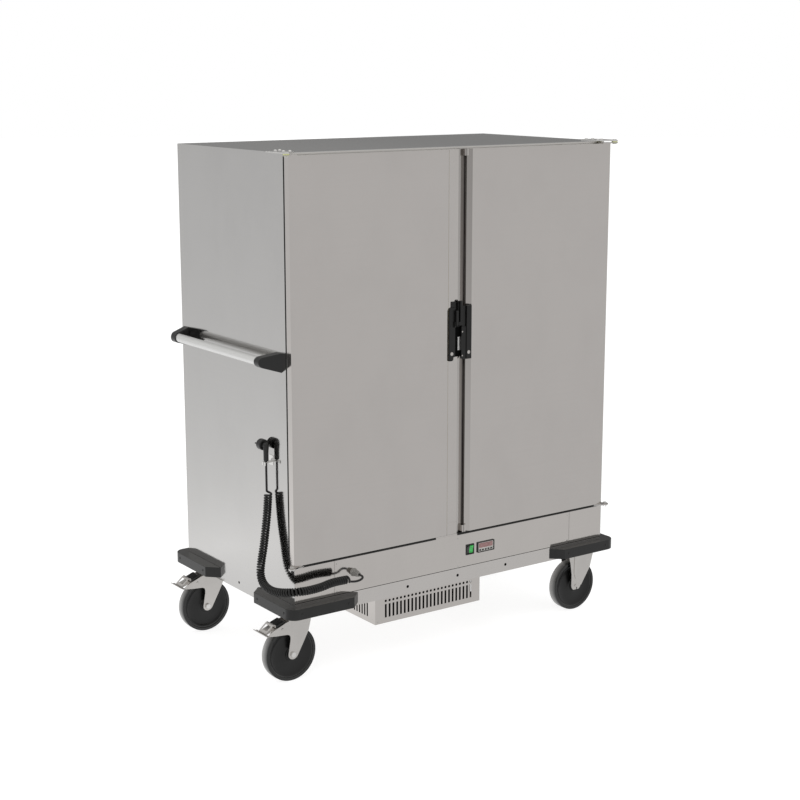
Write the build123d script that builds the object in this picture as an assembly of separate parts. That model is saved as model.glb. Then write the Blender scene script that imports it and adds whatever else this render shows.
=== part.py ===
from build123d import *
import os
import math

os.makedirs("parts", exist_ok=True)

# ---------------------------------------------------------------------------
# Insulated two-door food carrier on casters. Millimetres, +Z up, doors face -Y.
# The pieces are drawn in cabinet coordinates (x = 0 at the left side skin,
# y = 0 at the front plane of the doors, z = 0 on the floor) and moved at the
# end, so that the origin is the middle of the footprint of the whole carrier.
# ---------------------------------------------------------------------------

# cabinet
W = 1400.0            # width over the side skins
D = 770.0             # depth, door front to back skin
H = 1833.0            # height to the top skin
Z_BASE = 250.0        # underside of the base
Z_GROOVE = 303.7      # groove between skirt and base panels
Z_BASE_TOP = 431.5    # top of the base panels
YB = 36.0             # front face of the body behind the doors
T_SKIN = 1.5          # outer sheet
T_LIN = 1.0           # inner sheet
WALL = 50.0           # wall thickness, skin to liner
X_MID = 700.0

# doors
DOOR_T = 28.0
DOOR_Z0, DOOR_Z1 = 437.0, 1825.0
DOOR_GAP0, DOOR_GAP1 = 720.0, 736.0
X_FLAT_L, X_FLAT_R = 692.0, 753.5
BEVEL_Y = 12.0
X_SEAM = 650.0
CAP_Z0, CAP_Z1 = 483.5, 1801.5
GAP_END = 463.0
PLUG_Y = 54.0         # inner face of the door's raised panel
PIVOT_L = (-13.0, -7.0)
PIVOT_R = (W + 13.0, -7.0)

# hinges
PIN_R = 5.0
BUSH_R = 8.0
RUN = 0.06            # radial running clearance

# casters
WHEEL_R = 100.0
WHEEL_T = 36.0
AXLE_R = 6.0
SW_F = (68.0, 84.0)   # swivel axis, front left
SW_R = (70.0, 706.0)  # swivel axis, rear left
TRAIL = 44.0
RIG_X = 1330.0
RIG_Y = (84.0, 709.0)

# bumpers
B_OFF = 42.0
B_Z0, B_Z1 = 259.0, 298.0
B_LEG = 260.0

# push handle
BAR_X, BAR_Z, BAR_R = -52.3, 1137.0, 15.5
NOSE_X = -71.3
BAR_Y = (108.0, 711.0)
# plan of the two brackets: they lean towards each other from the wall to the bar
BR_PLAN = (((0, 61.5), (0, 98.5), (NOSE_X - 1, 129.4), (NOSE_X - 1, 94.4)), ((0, 720.5), (0, 757.5), (NOSE_X - 1, 726.6), (NOSE_X - 1, 691.6)))

# grille housing
G_X0, G_X1, G_Y1, G_Z0 = 333.0, 803.0, 480.0, 159.0
SLOT_PITCH, SLOT_W, SLOT_Z0, SLOT_Z1 = 16.6, 8.0, 179.0, 229.0

# cord
WIRE_D = 8.0
COIL_D = 30.0

# tray runners
LEVELS = [560.0 + 120.0 * i for i in range(10)]


# ------------------------------- helpers -----------------------------------
def box(x0, x1, y0, y1, z0, z1):
    return Pos((x0 + x1) / 2, (y0 + y1) / 2, (z0 + z1) / 2) * Box(x1 - x0, y1 - y0, z1 - z0)


def cyl_z(x, y, z0, z1, r):
    return Pos(x, y, (z0 + z1) / 2) * Cylinder(r, z1 - z0)


def cyl_y(x, z, y0, y1, r):
    return Pos(x, (y0 + y1) / 2, z) * Rot(90, 0, 0) * Cylinder(r, y1 - y0)


def cyl_x(y, z, x0, x1, r):
    return Pos((x0 + x1) / 2, y, z) * Rot(0, 90, 0) * Cylinder(r, x1 - x0)


def ex_xy(pts, z0, z1):
    f = make_face(Polyline(*[(x, y, z0) for x, y in pts], close=True))
    return extrude(f, amount=z1 - z0, dir=(0, 0, 1))


def ex_xz(pts, y0, y1):
    f = make_face(Polyline(*[(x, y0, z) for x, z in pts], close=True))
    return extrude(f, amount=y1 - y0, dir=(0, 1, 0))


def ex_yz(pts, x0, x1):
    f = make_face(Polyline(*[(x0, y, z) for y, z in pts], close=True))
    return extrude(f, amount=x1 - x0, dir=(1, 0, 0))


def mx(shape):
    """Mirror left to right about the middle of the cabinet."""
    return mirror(shape, about=Plane((X_MID, 0, 0), z_dir=(1, 0, 0)))


def solids_of(items):
    out = []
    for it in items if isinstance(items, (list, tuple)) else [items]:
        out.extend(it.solids())
    return out


def cut(body, tools):
    """One boolean for many tools."""
    return body - Compound(children=solids_of(tools)) if tools else body


def rounded(shape, edges, r):
    try:
        return fillet(edges, r)
    except Exception:
        return shape


PARTS = {}


def add(name, *items):
    PARTS.setdefault(name, [])
    for it in items:
        PARTS[name].extend(solids_of(it))


# ----------------------------- outer skins ---------------------------------
side_pts = [(0, Z_BASE), (D, Z_BASE), (D, H), (YB, H), (YB, Z_BASE_TOP), (0, Z_BASE_TOP)]
left_panel = ex_yz(side_pts, 0, T_SKIN)
# rounded front edge of the side skin and the drain hole low on the side
left_panel = left_panel - cyl_x(385, 278, -1, 4, 5)
add("left_side_panel", left_panel)
add("right_side_panel", mx(left_panel))

back_upper = box(T_SKIN, W - T_SKIN, D - T_SKIN, D, 433, H)
back_lower = box(T_SKIN, W - T_SKIN, D - T_SKIN, D, Z_BASE, 432)
louvres = [box(900 + 22 * i, 910 + 22 * i, D - 5, D + 5, 310, 400) for i in range(14)]
louvres += [box(200 + 22 * i, 210 + 22 * i, D - 5, D + 5, 310, 400) for i in range(14)]
add("back_panel", back_upper, cut(back_lower, louvres))

add("top_panel", box(T_SKIN, W - T_SKIN, YB, D - T_SKIN, H - T_SKIN, H))

# ----------------------------- front frame ---------------------------------
yf0, yf1 = YB, YB + 1.5
ZS, ZH = 482.0, 1783.0          # cavity floor and ceiling
add("door_frame",
    box(T_SKIN, WALL, yf0, yf1, 434, H - T_SKIN),
    box(W - WALL, W - T_SKIN, yf0, yf1, 434, H - T_SKIN),
    box(WALL, W - WALL, yf0, yf1, ZH, H - T_SKIN),
    box(WALL, W - WALL, yf0, yf1, 434, ZS),
    box(675, 725, yf0, yf1, ZS, ZH))

# ----------------------------- liner and foam ------------------------------
LX0, LX1, LY1 = WALL, W - WALL, 725.0
add("cavity_liner",
    box(LX0 - T_LIN, LX0, yf1, LY1, ZS - T_LIN, ZH + T_LIN),
    box(LX1, LX1 + T_LIN, yf1, LY1, ZS - T_LIN, ZH + T_LIN),
    box(LX0 - T_LIN, LX1 + T_LIN, LY1, LY1 + T_LIN, ZS - T_LIN, ZH + T_LIN),
    box(LX0, LX1, yf1, LY1, ZH, ZH + T_LIN),
    box(LX0, LX1, yf1, LY1, ZS - T_LIN, ZS))
part_pts = [(yf1, ZS), (LY1, ZS), (LY1, 1688), (588, 1688), (588, ZH), (yf1, ZH)]
add("cavity_liner", ex_yz(part_pts, 675, 676), ex_yz(part_pts, 724, 725))   # skins of the centre partition
FZ0 = 434.0
add("wall_insulation",
    box(T_SKIN, LX0 - T_LIN, yf1, D - T_SKIN, FZ0, H - T_SKIN),
    box(LX1 + T_LIN, W - T_SKIN, yf1, D - T_SKIN, FZ0, H - T_SKIN),
    box(LX0 - T_LIN, LX1 + T_LIN, LY1 + T_LIN, D - T_SKIN, FZ0, H - T_SKIN),
    box(LX0 - T_LIN, LX1 + T_LIN, yf1, LY1 + T_LIN, ZH + T_LIN, H - T_SKIN),
    box(LX0 - T_LIN, LX1 + T_LIN, yf1, LY1 + T_LIN, FZ0, ZS - T_LIN),
    ex_yz(part_pts, 676, 724))

# ----------------------------- racks ---------------------------------------
posts, runners = [], []
for x0 in (50, 645, 725, 1320):
    for yc in (130, 620):
        post = box(x0, x0 + 30, yc - 15, yc + 15, 484, 1686) - box(x0 + 1.5, x0 + 28.5, yc - 13.5, yc + 13.5, 480, 1690)
        posts.append(post)
        # foot and head pads that stand the post off the liner
        posts.append(box(x0, x0 + 30, yc - 15, yc + 15, 482, 484))
for z in LEVELS:
    for xa, s in ((80, 1), (645, -1), (755, 1), (1320, -1)):
        xs = sorted((xa, xa + s * 32))
        xv = sorted((xa, xa + s * 1.5))
        leg = box(xs[0], xs[1], 80, 690, z, z + 1.5)
        lip = box(xv[0], xv[1], 80, 690, z - 16, z)
        r = leg + lip
        runners.append(r)
add("rack_uprights", posts)
add("tray_runners", runners)

# ----------------------------- cooling -------------------------------------
ec_front = cut(box(500, 900, 592, 593, 1692, 1782.5), [box(520 + 20 * i, 530 + 20 * i, 590, 595, 1710, 1768) for i in range(19)])
ec_floor = box(500, 900, 593, 724, 1692, 1693) - cyl_z(700, 655, 1690, 1695, 52)
add("evaporator_cover", ec_front, ec_floor,
    box(500, 501, 593, 724, 1693, 1782.5), box(899, 900, 593, 724, 1693, 1782.5))
ef_hub = cyl_z(700, 655, 1712, 1730, 14) - cyl_z(700, 655, 1711, 1731, 3 + RUN)
blade = Pos(30, 0, 0) * Rot(28, 0, 0) * Box(36, 22, 2)
ef = ef_hub
for a in range(5):
    ef = ef + Pos(700, 655, 1721) * Rot(0, 0, 72 * a) * blade
add("evaporator_fan", ef)
ef_motor = cyl_z(700, 655, 1734, 1782, 22) + cyl_z(700, 655, 1714, 1734, 3)

def finned(x0, x1, y0, y1, z0, z1, n):
    """Finned block: end plates, fins and straight tubes in one solid."""
    s = box(x0, x1, y0 + 3, y1 - 3, z0 + 3, z1 - 3)
    step = (x1 - x0) / n
    for i in range(n + 1):
        xx = x0 + i * step
        s = s + box(max(x0, xx - 0.8), min(x1, xx + 0.8), y0, y1, z0, z1)
    return s


evap_coil = finned(520, 640, 600, 700, 1712, 1778, 12)
evap_coil2 = finned(760, 880, 600, 700, 1712, 1778, 12)
cond_coil = finned(370, 600, 42, 78, 172, 392, 23)
for i in range(5):
    zz = 190 + i * 44
    cond_coil = cond_coil + (Pos(604, 60, zz + 11) * Rot(90, 0, 0) * Torus(11, 4) & box(600, 640, 0, 100, 100, 500))
shroud = box(370, 600, 78.2, 80.2, 172, 392) - cyl_y(485, 282, 70, 90, 96)
cf_mount = (box(370, 600, 150, 154, 262, 302) + box(370, 374, 80.2, 150, 262, 302) + box(596, 600, 80.2, 150, 262, 302)
            + cyl_y(485, 282, 128, 175, 28) + cyl_y(485, 282, 96, 128, 3))
add("cooling_unit", evap_coil, evap_coil2, cond_coil, shroud, cf_mount, ef_motor)
cf = cyl_y(485, 282, 100, 124, 18) - cyl_y(485, 282, 99, 125, 3 + RUN)
for a in range(5):
    cf = cf + Pos(485, 112, 282) * Rot(0, 72 * a, 0) * (Pos(50, 0, 0) * Rot(28, 0, 0) * Box(72, 2, 34))
add("condenser_fan", cf)
comp = cyl_z(680, 330, 176, 330, 72)
comp = rounded(comp, comp.edges().filter_by(GeomType.CIRCLE), 28)
comp = comp + box(590, 770, 300, 360, 172, 178) + cyl_z(640, 300, 320, 348, 5) + cyl_z(716, 360, 320, 348, 5)
feet = [cyl_z(x, y, 160.5, 172, 9) for x in (602, 758) for y in (312, 348)]
add("compressor", comp, feet)

# ----------------------------- base ----------------------------------------
pz0 = Z_GROOVE + 1.0
SEAM_L, SEAM_R = 162.5, 1237.0
# switch, controller and gland positions on the front panel
SWX0, SWX1, SWZ0, SWZ1 = 737.0, 775.0, 345.5, 386.0
CTX0, CTX1, CTZ0, CTZ1 = 789.0, 868.0, 346.0, 386.0
GLX, GLZ = 242.8, 374.0
mid = box(SEAM_L + 0.5, SEAM_R - 0.5, 0, 1.5, pz0, Z_BASE_TOP)
mid = cut(mid, [box(SWX0 + 2.5, SWX1 - 2.5, -2, 4, SWZ0 + 2.5, SWZ1 - 2.5),
                box(CTX0 + 3.5, CTX1 - 3.5, -2, 4, CTZ0 + 3.5, CTZ1 - 3.5),
                cyl_y(GLX, GLZ, -2, 4, 8.2)])
cornl = box(T_SKIN, SEAM_L - 0.5, 0, 1.5, pz0, Z_BASE_TOP)
cornr = box(SEAM_R + 0.5, W - T_SKIN, 0, 1.5, pz0, Z_BASE_TOP)
# flange along the top of each panel, back to the body
flanges = [box(a, b, 1.5, YB, Z_BASE_TOP - 1.5, Z_BASE_TOP)
           for a, b in ((SEAM_L + 0.5, SEAM_R - 0.5), (T_SKIN, SEAM_L - 0.5), (SEAM_R + 0.5, W - T_SKIN))]
# ledge under the left door's free edge, riveted to the middle panel
ledge = box(601, 697, 0.6, 28, Z_BASE_TOP, Z_BASE_TOP + 4.8)
add("base_front_panels", mid, cornl, cornr, flanges, ledge)

skirt = box(T_SKIN, W - T_SKIN, 0, 2, Z_BASE, Z_GROOVE - 1.0)
skirt = cut(skirt, [cyl_y(x, 276, -2, 4, 5) for x in (475, 700, 925)])
rails = [skirt]


def tube_x(x0, x1, y0, y1, z0, z1, t=2.0):
    return box(x0, x1, y0, y1, z0, z1) - box(x0 - 1, x1 + 1, y0 + t, y1 - t, z0 + t, z1 - t)


def tube_y(x0, x1, y0, y1, z0, z1, t=2.0):
    return box(x0, x1, y0, y1, z0, z1) - box(x0 + t, x1 - t, y0 - 1, y1 + 1, z0 + t, z1 - t)


# the skirt's three holes go on through the front wall of the rail behind it
rails.append(cut(tube_x(3, W - 3, 3, 33, 252, 302), [cyl_y(x, 276, 2, 8, 5) for x in (475, 700, 925)]))
rails.append(tube_x(3, W - 3, 735, 765, 252, 302))
for x0 in (3, 290, 850, W - 33):
    # the hole low on each side skin goes on through the wall of the outer rails
    rails.append(cut(tube_y(x0, x0 + 30, 33, 735, 252, 302), [cyl_x(385, 278, a, a + 4, 5) for a in (2, W - 6)]))
for x0, x1 in ((34, 130), (W - 130, W - 34)):
    rails.append(box(x0, x1, 33.5, 140, 252, 258))
    rails.append(box(x0, x1, 650, 734.5, 252, 258))
floor_pan = cut(box(T_SKIN, W - T_SKIN, 2, D - T_SKIN, 250.2, 251.8), [box(G_X0 + 3, G_X1 - 3, 40, G_Y1 - 3, 245, 255)])
rails.append(floor_pan)
rails.append(box(T_SKIN, W - T_SKIN, YB, D - T_SKIN, 432.2, 434))      # deck under the cavity
for x in (8, 700, W - 12):
    for y in (40, 756):
        rails.append(box(x, x + 4, y, y + 8, 302, 432.2))              # props between rails and deck
add("chassis_frame", rails)

# ----------------------------- grille housing ------------------------------
gz1 = 250.0
n_front = 24
fx = [379.0 + SLOT_PITCH * i for i in range(n_front)]
g_front = cut(box(G_X0, G_X1, 0, 1.5, G_Z0, gz1),
              [box(x - SLOT_W / 2, x + SLOT_W / 2, -2, 4, SLOT_Z0, SLOT_Z1) for x in fx]
              + [cyl_y(x, 241, -2, 4, 4) for x in fx])
sy = [50.0 + SLOT_PITCH * i for i in range(24)]
side_cuts = [box(-2, 4, y - SLOT_W / 2, y + SLOT_W / 2, SLOT_Z0, SLOT_Z1) for y in sy] + [cyl_x(y, 241, -2, 4, 4) for y in sy]
g_left = cut(box(0, 1.5, 1.5, G_Y1 - 1.5, G_Z0, gz1), side_cuts)
g_right = Pos(G_X1 - 1.5, 0, 0) * g_left
g_left = Pos(G_X0, 0, 0) * g_left
g_back = Pos(0, G_Y1 - 1.5, 0) * g_front
g_floor = box(G_X0 + 1.5, G_X1 - 1.5, 1.5, G_Y1 - 1.5, G_Z0, G_Z0 + 1.5)
add("grille_housing", g_front, g_left, g_right, g_back, g_floor)

# ----------------------------- controller and switch -----------------------
case = box(CTX0, CTX1, -2.5, 0, CTZ0, CTZ1)
case = rounded(case, case.edges().filter_by(Axis.Y), 2.0)
case = rounded(case, case.faces().sort_by(Axis.Y)[0].edges(), 0.6)
case = case + box(CTX0 + 4, CTX1 - 4, 0, 58, CTZ0 + 4, CTZ1 - 4)
BTN_X = [802.5 + 13.0 * i for i in range(5)]
BTN_Z = 354.5
WIN = (795.5, 861.5, 362.0, 381.5)
pockets = [box(WIN[0], WIN[1], -3, -1.5, WIN[2], WIN[3])]
pockets += [box(x - 3.7, x + 3.7, -3, 1.6, BTN_Z - 2.4, BTN_Z + 2.4) for x in BTN_X]
case = cut(case, pockets)
add("controller_case", case)
add("controller_window", box(WIN[0] + 0.1, WIN[1] - 0.1, -2.4, -1.5, WIN[2] + 0.1, WIN[3] - 0.1))
for i, x in enumerate(BTN_X):
    b = box(x - 3.4, x + 3.4, -3.4, 0.3, BTN_Z - 2.1, BTN_Z + 2.1)
    b = rounded(b, b.faces().sort_by(Axis.Y)[0].edges(), 0.5)
    add("button_%d" % (i + 1), b)

SW_CX, SW_CZ, SW_PY = 756.0, 365.75, 4.0
frame_sw = box(SWX0, SWX1, -2.0, 0, SWZ0, SWZ1)
frame_sw = rounded(frame_sw, frame_sw.edges().filter_by(Axis.Y), 2.0)
frame_sw = rounded(frame_sw, frame_sw.faces().sort_by(Axis.Y)[0].edges(), 0.7)
frame_sw = frame_sw + box(SWX0 + 3, SWX1 - 3, 0, 24, SWZ0 + 3, SWZ1 - 3)
frame_sw = frame_sw - box(SW_CX - 14.6, SW_CX + 14.6, -3, 16, SW_CZ - 15.6, SW_CZ + 15.6)
frame_sw = frame_sw + cyl_x(SW_PY, SW_CZ, SW_CX - 14.6, SW_CX + 14.6, 1.5)
add("switch_frame", frame_sw)
TA = math.tan(math.radians(8))
rk = ex_yz([(-4.5, 0), (-4.5 - 14 * TA, 14), (2, 14.0), (6, 6), (6, -6), (2, -14.0), (-4.5 - 14 * TA, -14)], -14.2, 14.2)
rk = rounded(rk, rk.edges().filter_by(Axis.X).sort_by(Axis.Y)[:2], 1.0)
rk = rk - cyl_x(0, 0, -20, 20, 1.5 + RUN)
rk = Pos(SW_CX, SW_PY, SW_CZ) * Rot(8, 0, 0) * rk
add("rocker", rk)

# ----------------------------- gland ---------------------------------------
nut_pts = [(GLX + 14.5 * math.cos(math.radians(60 * i)), GLZ + 14.5 * math.sin(math.radians(60 * i))) for i in range(6)]
gl = ex_xz(nut_pts, -7, -1.5) + cyl_y(GLX, GLZ, -1.5, 0, 15) + cyl_y(GLX, GLZ, 0, 14, 8.1) + cyl_y(GLX, GLZ, -10, -7, 12)
gl = gl + Pos(GLX, -22.5, GLZ) * Rot(90, 0, 0) * Cone(10.5, 6.5, 25)
for k in range(5):
    gl = gl + cyl_y(GLX, GLZ, -14.5 - 4.5 * k, -12.5 - 4.5 * k, 11.4 - 0.8 * k)
gl = gl - cyl_y(GLX, GLZ, -9, 20, 4.2)
locknut = ex_xz([(GLX + 13 * math.cos(math.radians(60 * i)), GLZ + 13 * math.sin(math.radians(60 * i))) for i in range(6)], 1.5, 6.5) - cyl_y(GLX, GLZ, 1, 7, 8.15)
add("cable_gland", gl, locknut)

# ----------------------------- cord ----------------------------------------
COIL_PTS = [(-21.4, 129.3, 682.0), (-25.0, 129.4, 617.4), (-32.0, 131.8, 552.9), (-41.0, 131.6, 489.2),
            (-50.0, 135.9, 433.1), (-57.0, 133.7, 386.9), (-61.0, 106.1, 357.9), (-62.0, 51.5, 349.0),
            (-57.0, -12.5, 359.4), (-34.0, -62.0, 370.7), (17.6, -64.0, 367.6), (72.9, -61.0, 368.9),
            (106.9, -58.0, 374.7), (150.0, -54.5, 374.5), (193.0, -52.0, 372.0)]
LEAD_A = [(-21.4, 140.0, 786.0), (-21.4, 139.6, 682.0)]
LEAD_B = [(193.3, -54.0, 363.4), (206.0, -57.5, 361.6), (219.0, -62.5, 363.0), (230.0, -66.5, 367.5),
          (238.5, -64.0, 371.8), (242.3, -54.5, 373.7), (242.8, -44.5, 374.0), (242.8, -35.0, 374.3)]


def route(points, dia, name):
    """Straight runs joined by tangent arcs, each arc as large as its runs allow."""
    v = [Vector(*p) for p in points]
    runs = [(v[i + 1] - v[i]).length for i in range(len(v) - 1)]
    radii = []
    for i in range(1, len(v) - 1):
        turn = (v[i] - v[i - 1]).get_angle(v[i + 1] - v[i])
        radii.append(0.45 * min(runs[i - 1], runs[i]) / math.tan(math.radians(turn) / 2))
    if radii:
        path = FilletPolyline(*v, radius=radii)
    else:
        path = Line(v[0], v[1])
    w = path.wire() if not isinstance(path, Wire) else path
    pl = Plane(origin=v[0], z_dir=(v[1] - v[0]))
    tube = sweep(pl * Circle(dia / 2), path=w)
    length = w.length
    ratio = tube.volume / (math.pi * dia * dia / 4 * length)
    print("cord", name, "length %.1f" % length, "volume ratio %.4f" % ratio,
          "radii", ["%.0f" % r for r in radii], "runs", ["%.0f" % r for r in runs])
    return tube


add("cord_lead_plug", cyl_z(-21.4, 140.0, 682.0, 786.0, WIRE_D / 2))
add("cord_coil", route(COIL_PTS, COIL_D, "coil"))
add("cord_lead_gland", route(LEAD_B, WIRE_D, "lead_gland"))

# plug: right-angle head, stem down, pins towards the back
PX, PY, PZ = -21.5, 168.0, 838.5
head = cyl_y(PX, PZ, 150, 176, 19)
head = rounded(head, head.edges().filter_by(GeomType.CIRCLE), 3.0)
neck = cyl_y(PX, PZ, 140, 152, 11) + (Pos(PX, 140, PZ) * Sphere(11))
stem = Pos(PX, 140, 812) * Cone(7.0, 10.5, 52)
head = head + neck + stem
pins = [cyl_y(PX + s * 9.5, PZ, 176, 195, 2.4) for s in (-1, 1)]
add("plug", head, pins)

clip = box(-1.5, 0, 126, 154, 768, 803)
clip = clip + box(-31, -1.5, 129, 151, 780, 782) - box(-40, -16.9, 135.5, 144.5, 779, 783)
clip = clip + box(-31, -29.4, 129, 135.5, 770, 780) + box(-31, -29.4, 144.5, 151, 770, 780)
clip = clip - box(-18, -16, 100, 180, 700, 760)
add("plug_clip", clip)

# ----------------------------- push handle ---------------------------------
def tangent_point(px_, pz_, cx, cz, r, side):
    """Point where the line from (px_, pz_) touches the circle, upper or lower side."""
    dx, dz = px_ - cx, pz_ - cz
    d = math.hypot(dx, dz)
    base = math.atan2(dz, dx)
    a = base + side * math.acos(r / d)
    return cx + r * math.cos(a), cz + r * math.sin(a)


brs = []
NOSE_R, NOSE_Z = 19.0, BAR_Z
t_up = tangent_point(0, 1168, BAR_X, NOSE_Z, NOSE_R, 1)
t_dn = tangent_point(0, 1101, BAR_X, NOSE_Z, NOSE_R, -1)
for k, plan in enumerate(BR_PLAN):
    y0, y1 = min(q[1] for q in plan) - 5, max(q[1] for q in plan) + 5
    w_ = [Line((0, y0, 1101), (0, y0, 1168)), Line((0, y0, 1168), (t_up[0], y0, t_up[1])),
          ThreePointArc((t_up[0], y0, t_up[1]), (BAR_X - NOSE_R, y0, NOSE_Z), (t_dn[0], y0, t_dn[1])),
          Line((t_dn[0], y0, t_dn[1]), (0, y0, 1101))]
    fin = extrude(make_face(w_), amount=y1 - y0, dir=(0, 1, 0)) & ex_xy(plan, 1080, 1190)
    fin = rounded(fin, [e for e in fin.edges() if e.center().X < -1.0 and e.geom_type != GeomType.CIRCLE and e.bounding_box().size.X > 5], 2.5)
    bore = cyl_y(BAR_X, BAR_Z, BAR_Y[0], 400, BAR_R + 0.05) if k == 0 else cyl_y(BAR_X, BAR_Z, 400, BAR_Y[1], BAR_R + 0.05)
    brs.append(fin - bore)
add("handle_brackets", brs)
bar = cyl_y(BAR_X, BAR_Z, BAR_Y[0], BAR_Y[1], BAR_R) - cyl_y(BAR_X, BAR_Z, 60, 770, BAR_R - 2)
add("push_bar", bar)

# ----------------------------- bumpers -------------------------------------


def bumper():
    p = [(B_LEG, 0), (B_LEG - B_OFF, -B_OFF), (-B_OFF, -B_OFF), (-B_OFF, B_LEG - 10 - B_OFF), (0, B_LEG - 10), (0, 0)]
    s = ex_xy(p, B_Z0, B_Z1)
    ve = [e for e in s.edges().filter_by(Axis.Z) if e.center().X < -B_OFF + 1 and e.center().Y < -B_OFF + 1]
    s = rounded(s, ve, 38.0)
    ve = [e for e in s.edges().filter_by(Axis.Z)
          if (abs(e.center().X - (B_LEG - B_OFF)) < 1 and e.center().Y < -B_OFF + 1) or (abs(e.center().Y - (B_LEG - 10 - B_OFF)) < 1 and e.center().X < -B_OFF + 1)]
    s = rounded(s, ve, 6.0)
    oe = [e for e in s.edges() if (abs(e.center().Z - B_Z1) < 0.1 or abs(e.center().Z - B_Z0) < 0.1)
          and (e.center().X < -0.5 or e.center().Y < -0.5)]
    s = rounded(s, oe, 4.0)
    return s


bfl = bumper()
brl = Pos(0, D, 0) * mirror(bfl, about=Plane.XZ)
add("corner_bumpers", bfl, brl, mx(bfl), mx(brl))

# ----------------------------- hinges --------------------------------------
px, py = PIVOT_L
hp = []
# top plate on the cabinet's top skin, reaching forward and out to the pivot
tp = ex_xy([(px - 8, py - 9), (px + 9, py - 8), (45, 32), (45, 115), (-6, 115), (-28, 96), (-28, 30), (px - 12, py + 2)], H, H + 4) \
    + cyl_z(px, py, H, H + 4, 12)
tp = tp - cyl_z(px, py, H - 1, H + 5, PIN_R + 0.03)
bolts_top = [(7, 42), (29, 38), (-2.5 + 9, 92.5), (29.5, 103)]
tp = cut(tp, [cyl_z(x, y, H - 1, H + 5, 3.3) for x, y in bolts_top])
pin_t = cyl_z(px, py, 1822, H + 4, PIN_R) + cyl_z(px, py, H + 4, H + 6.5, 8) + cyl_z(px, py, 1822, 1824, 7.5)
bush_t = cyl_z(px, py, 1828.3, H, 11) + cyl_z(px, py, 1824.2, 1828.3, BUSH_R) - cyl_z(px, py, 1810, 1840, PIN_R + 0.03)
# bottom plate in the gap between base and door
bp = ex_xy([(px - 8, py - 9), (px + 9, py - 8), (50, 3), (50, 35.5), (-1, 35.5), (px - 12, py + 2)], 431.5, 433.7) + cyl_z(px, py, 431.5, 433.7, 12)
bp = bp - cyl_z(px, py, 430, 436, PIN_R + 0.03)
tab = ex_xz([(px - 12, 431.5), (-1.0, 431.5), (px - 2, 418)], py - 1, py + 1)
bp = bp + tab - cyl_z(px, py, 400, 436, PIN_R + 0.03)
pin_b = cyl_z(px, py, 431.5, 440, PIN_R) + cyl_z(px, py, 440, 442, 7)
bush_b = cyl_z(px, py, 433.7, 434.2, 11) + cyl_z(px, py, 434.2, 440, BUSH_R) - cyl_z(px, py, 400, 450, PIN_R + 0.03)
for s in (tp, pin_t, bp, pin_b):
    add("hinge_brackets", s, mx(s))
for s in (bush_t, bush_b):
    add("hinge_bushings", s, mx(s))

# ears on the door, running on the bushings
ear_pts = [(px - 8, py - 9), (px + 10, py - 8), (34, 1), (34, 25), (-0.0, 25), (px - 12, py + 2)]


def ear(z0, z1):
    e = ex_xy(ear_pts, z0, z1) + cyl_z(px, py, z0, z1, 13)
    return e - cyl_z(px, py, z0 - 1, z1 + 1, BUSH_R + RUN)


ear_t, ear_b = ear(1825.0, 1828.0), ear(434.4, 437.0)

# ----------------------------- doors ---------------------------------------


def door(outer, inner, flat_x, mirror_right):
    """Outer pan as a folded sheet, open at the back, with its foam."""
    pan = ex_xy(outer, DOOR_Z0, DOOR_Z1)
    foam = ex_xy(inner, DOOR_Z0 + 1, DOOR_Z1 - 1)
    return pan - foam, foam


# left door: pan to the seam, then the edge profile with its bevel and caps
oL = [(0, 0), (X_FLAT_L, 0), (DOOR_GAP0, BEVEL_Y), (DOOR_GAP0, DOOR_T), (0, DOOR_T)]
iL = [(1, 1), (X_FLAT_L - 0.2, 1), (DOOR_GAP0 - 1, BEVEL_Y + 0.7), (DOOR_GAP0 - 1, DOOR_T - 1), (1, DOOR_T - 1)]
iLs = [(1, 1), (X_FLAT_L - 0.2, 1), (DOOR_GAP0 - 1, BEVEL_Y + 0.7), (DOOR_GAP0 - 1, DOOR_T + 1), (1, DOOR_T + 1)]
skinL = ex_xy(oL, DOOR_Z0, DOOR_Z1) - ex_xy(iLs, DOOR_Z0 + 1, DOOR_Z1 - 1)
skinL = skinL - box(X_SEAM - 0.8, X_SEAM, -1, 40, 400, 1900)
# the back rim of the pan stops where the inner sheet's flange closes it
skinL = skinL - box(-5, 1500, DOOR_T - 1, DOOR_T + 1, 400, 1900)
# top and bottom lines of the profile's end caps, as shallow grooves
skinL = skinL - box(X_SEAM, DOOR_GAP0 + 1, -1, 0.6, CAP_Z1 - 0.5, CAP_Z1 + 0.5) - box(X_SEAM, DOOR_GAP0 + 1, -1, 0.6, CAP_Z0 - 0.5, CAP_Z0 + 0.5)
vedge = [e for e in skinL.edges().filter_by(Axis.Z) if abs(e.center().X) < 0.01 and abs(e.center().Y) < 0.01]
skinL = rounded(skinL, vedge, 0.9)
caps = [box(DOOR_GAP0, 727, 1.5, DOOR_T - 1, CAP_Z1 + 0.5, DOOR_Z1), box(DOOR_GAP0, 727, 1.5, DOOR_T - 1, DOOR_Z0, GAP_END)]
add("door_left_skin", skinL, caps, ear_t, ear_b)


def core(inner, x0, x1):
    return ex_xy(inner, DOOR_Z0 + 1, DOOR_Z1 - 1) + box(x0 + 1, x1 - 1, DOOR_T - 1, PLUG_Y - 1, 499, 1767)


def liner(xa, xb, x0, x1):
    """Inner sheet of a door: its flat border, and the raised pan inside it."""
    border = box(xa, xb, DOOR_T - 1, DOOR_T, DOOR_Z0, DOOR_Z1) - box(x0 + 1, x1 - 1, DOOR_T - 2, DOOR_T + 1, 499, 1767)
    pan = box(x0, x1, DOOR_T, PLUG_Y, 498, 1768) - box(x0 + 1, x1 - 1, DOOR_T - 2, PLUG_Y - 1, 499, 1767)
    return [border, pan]


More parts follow.
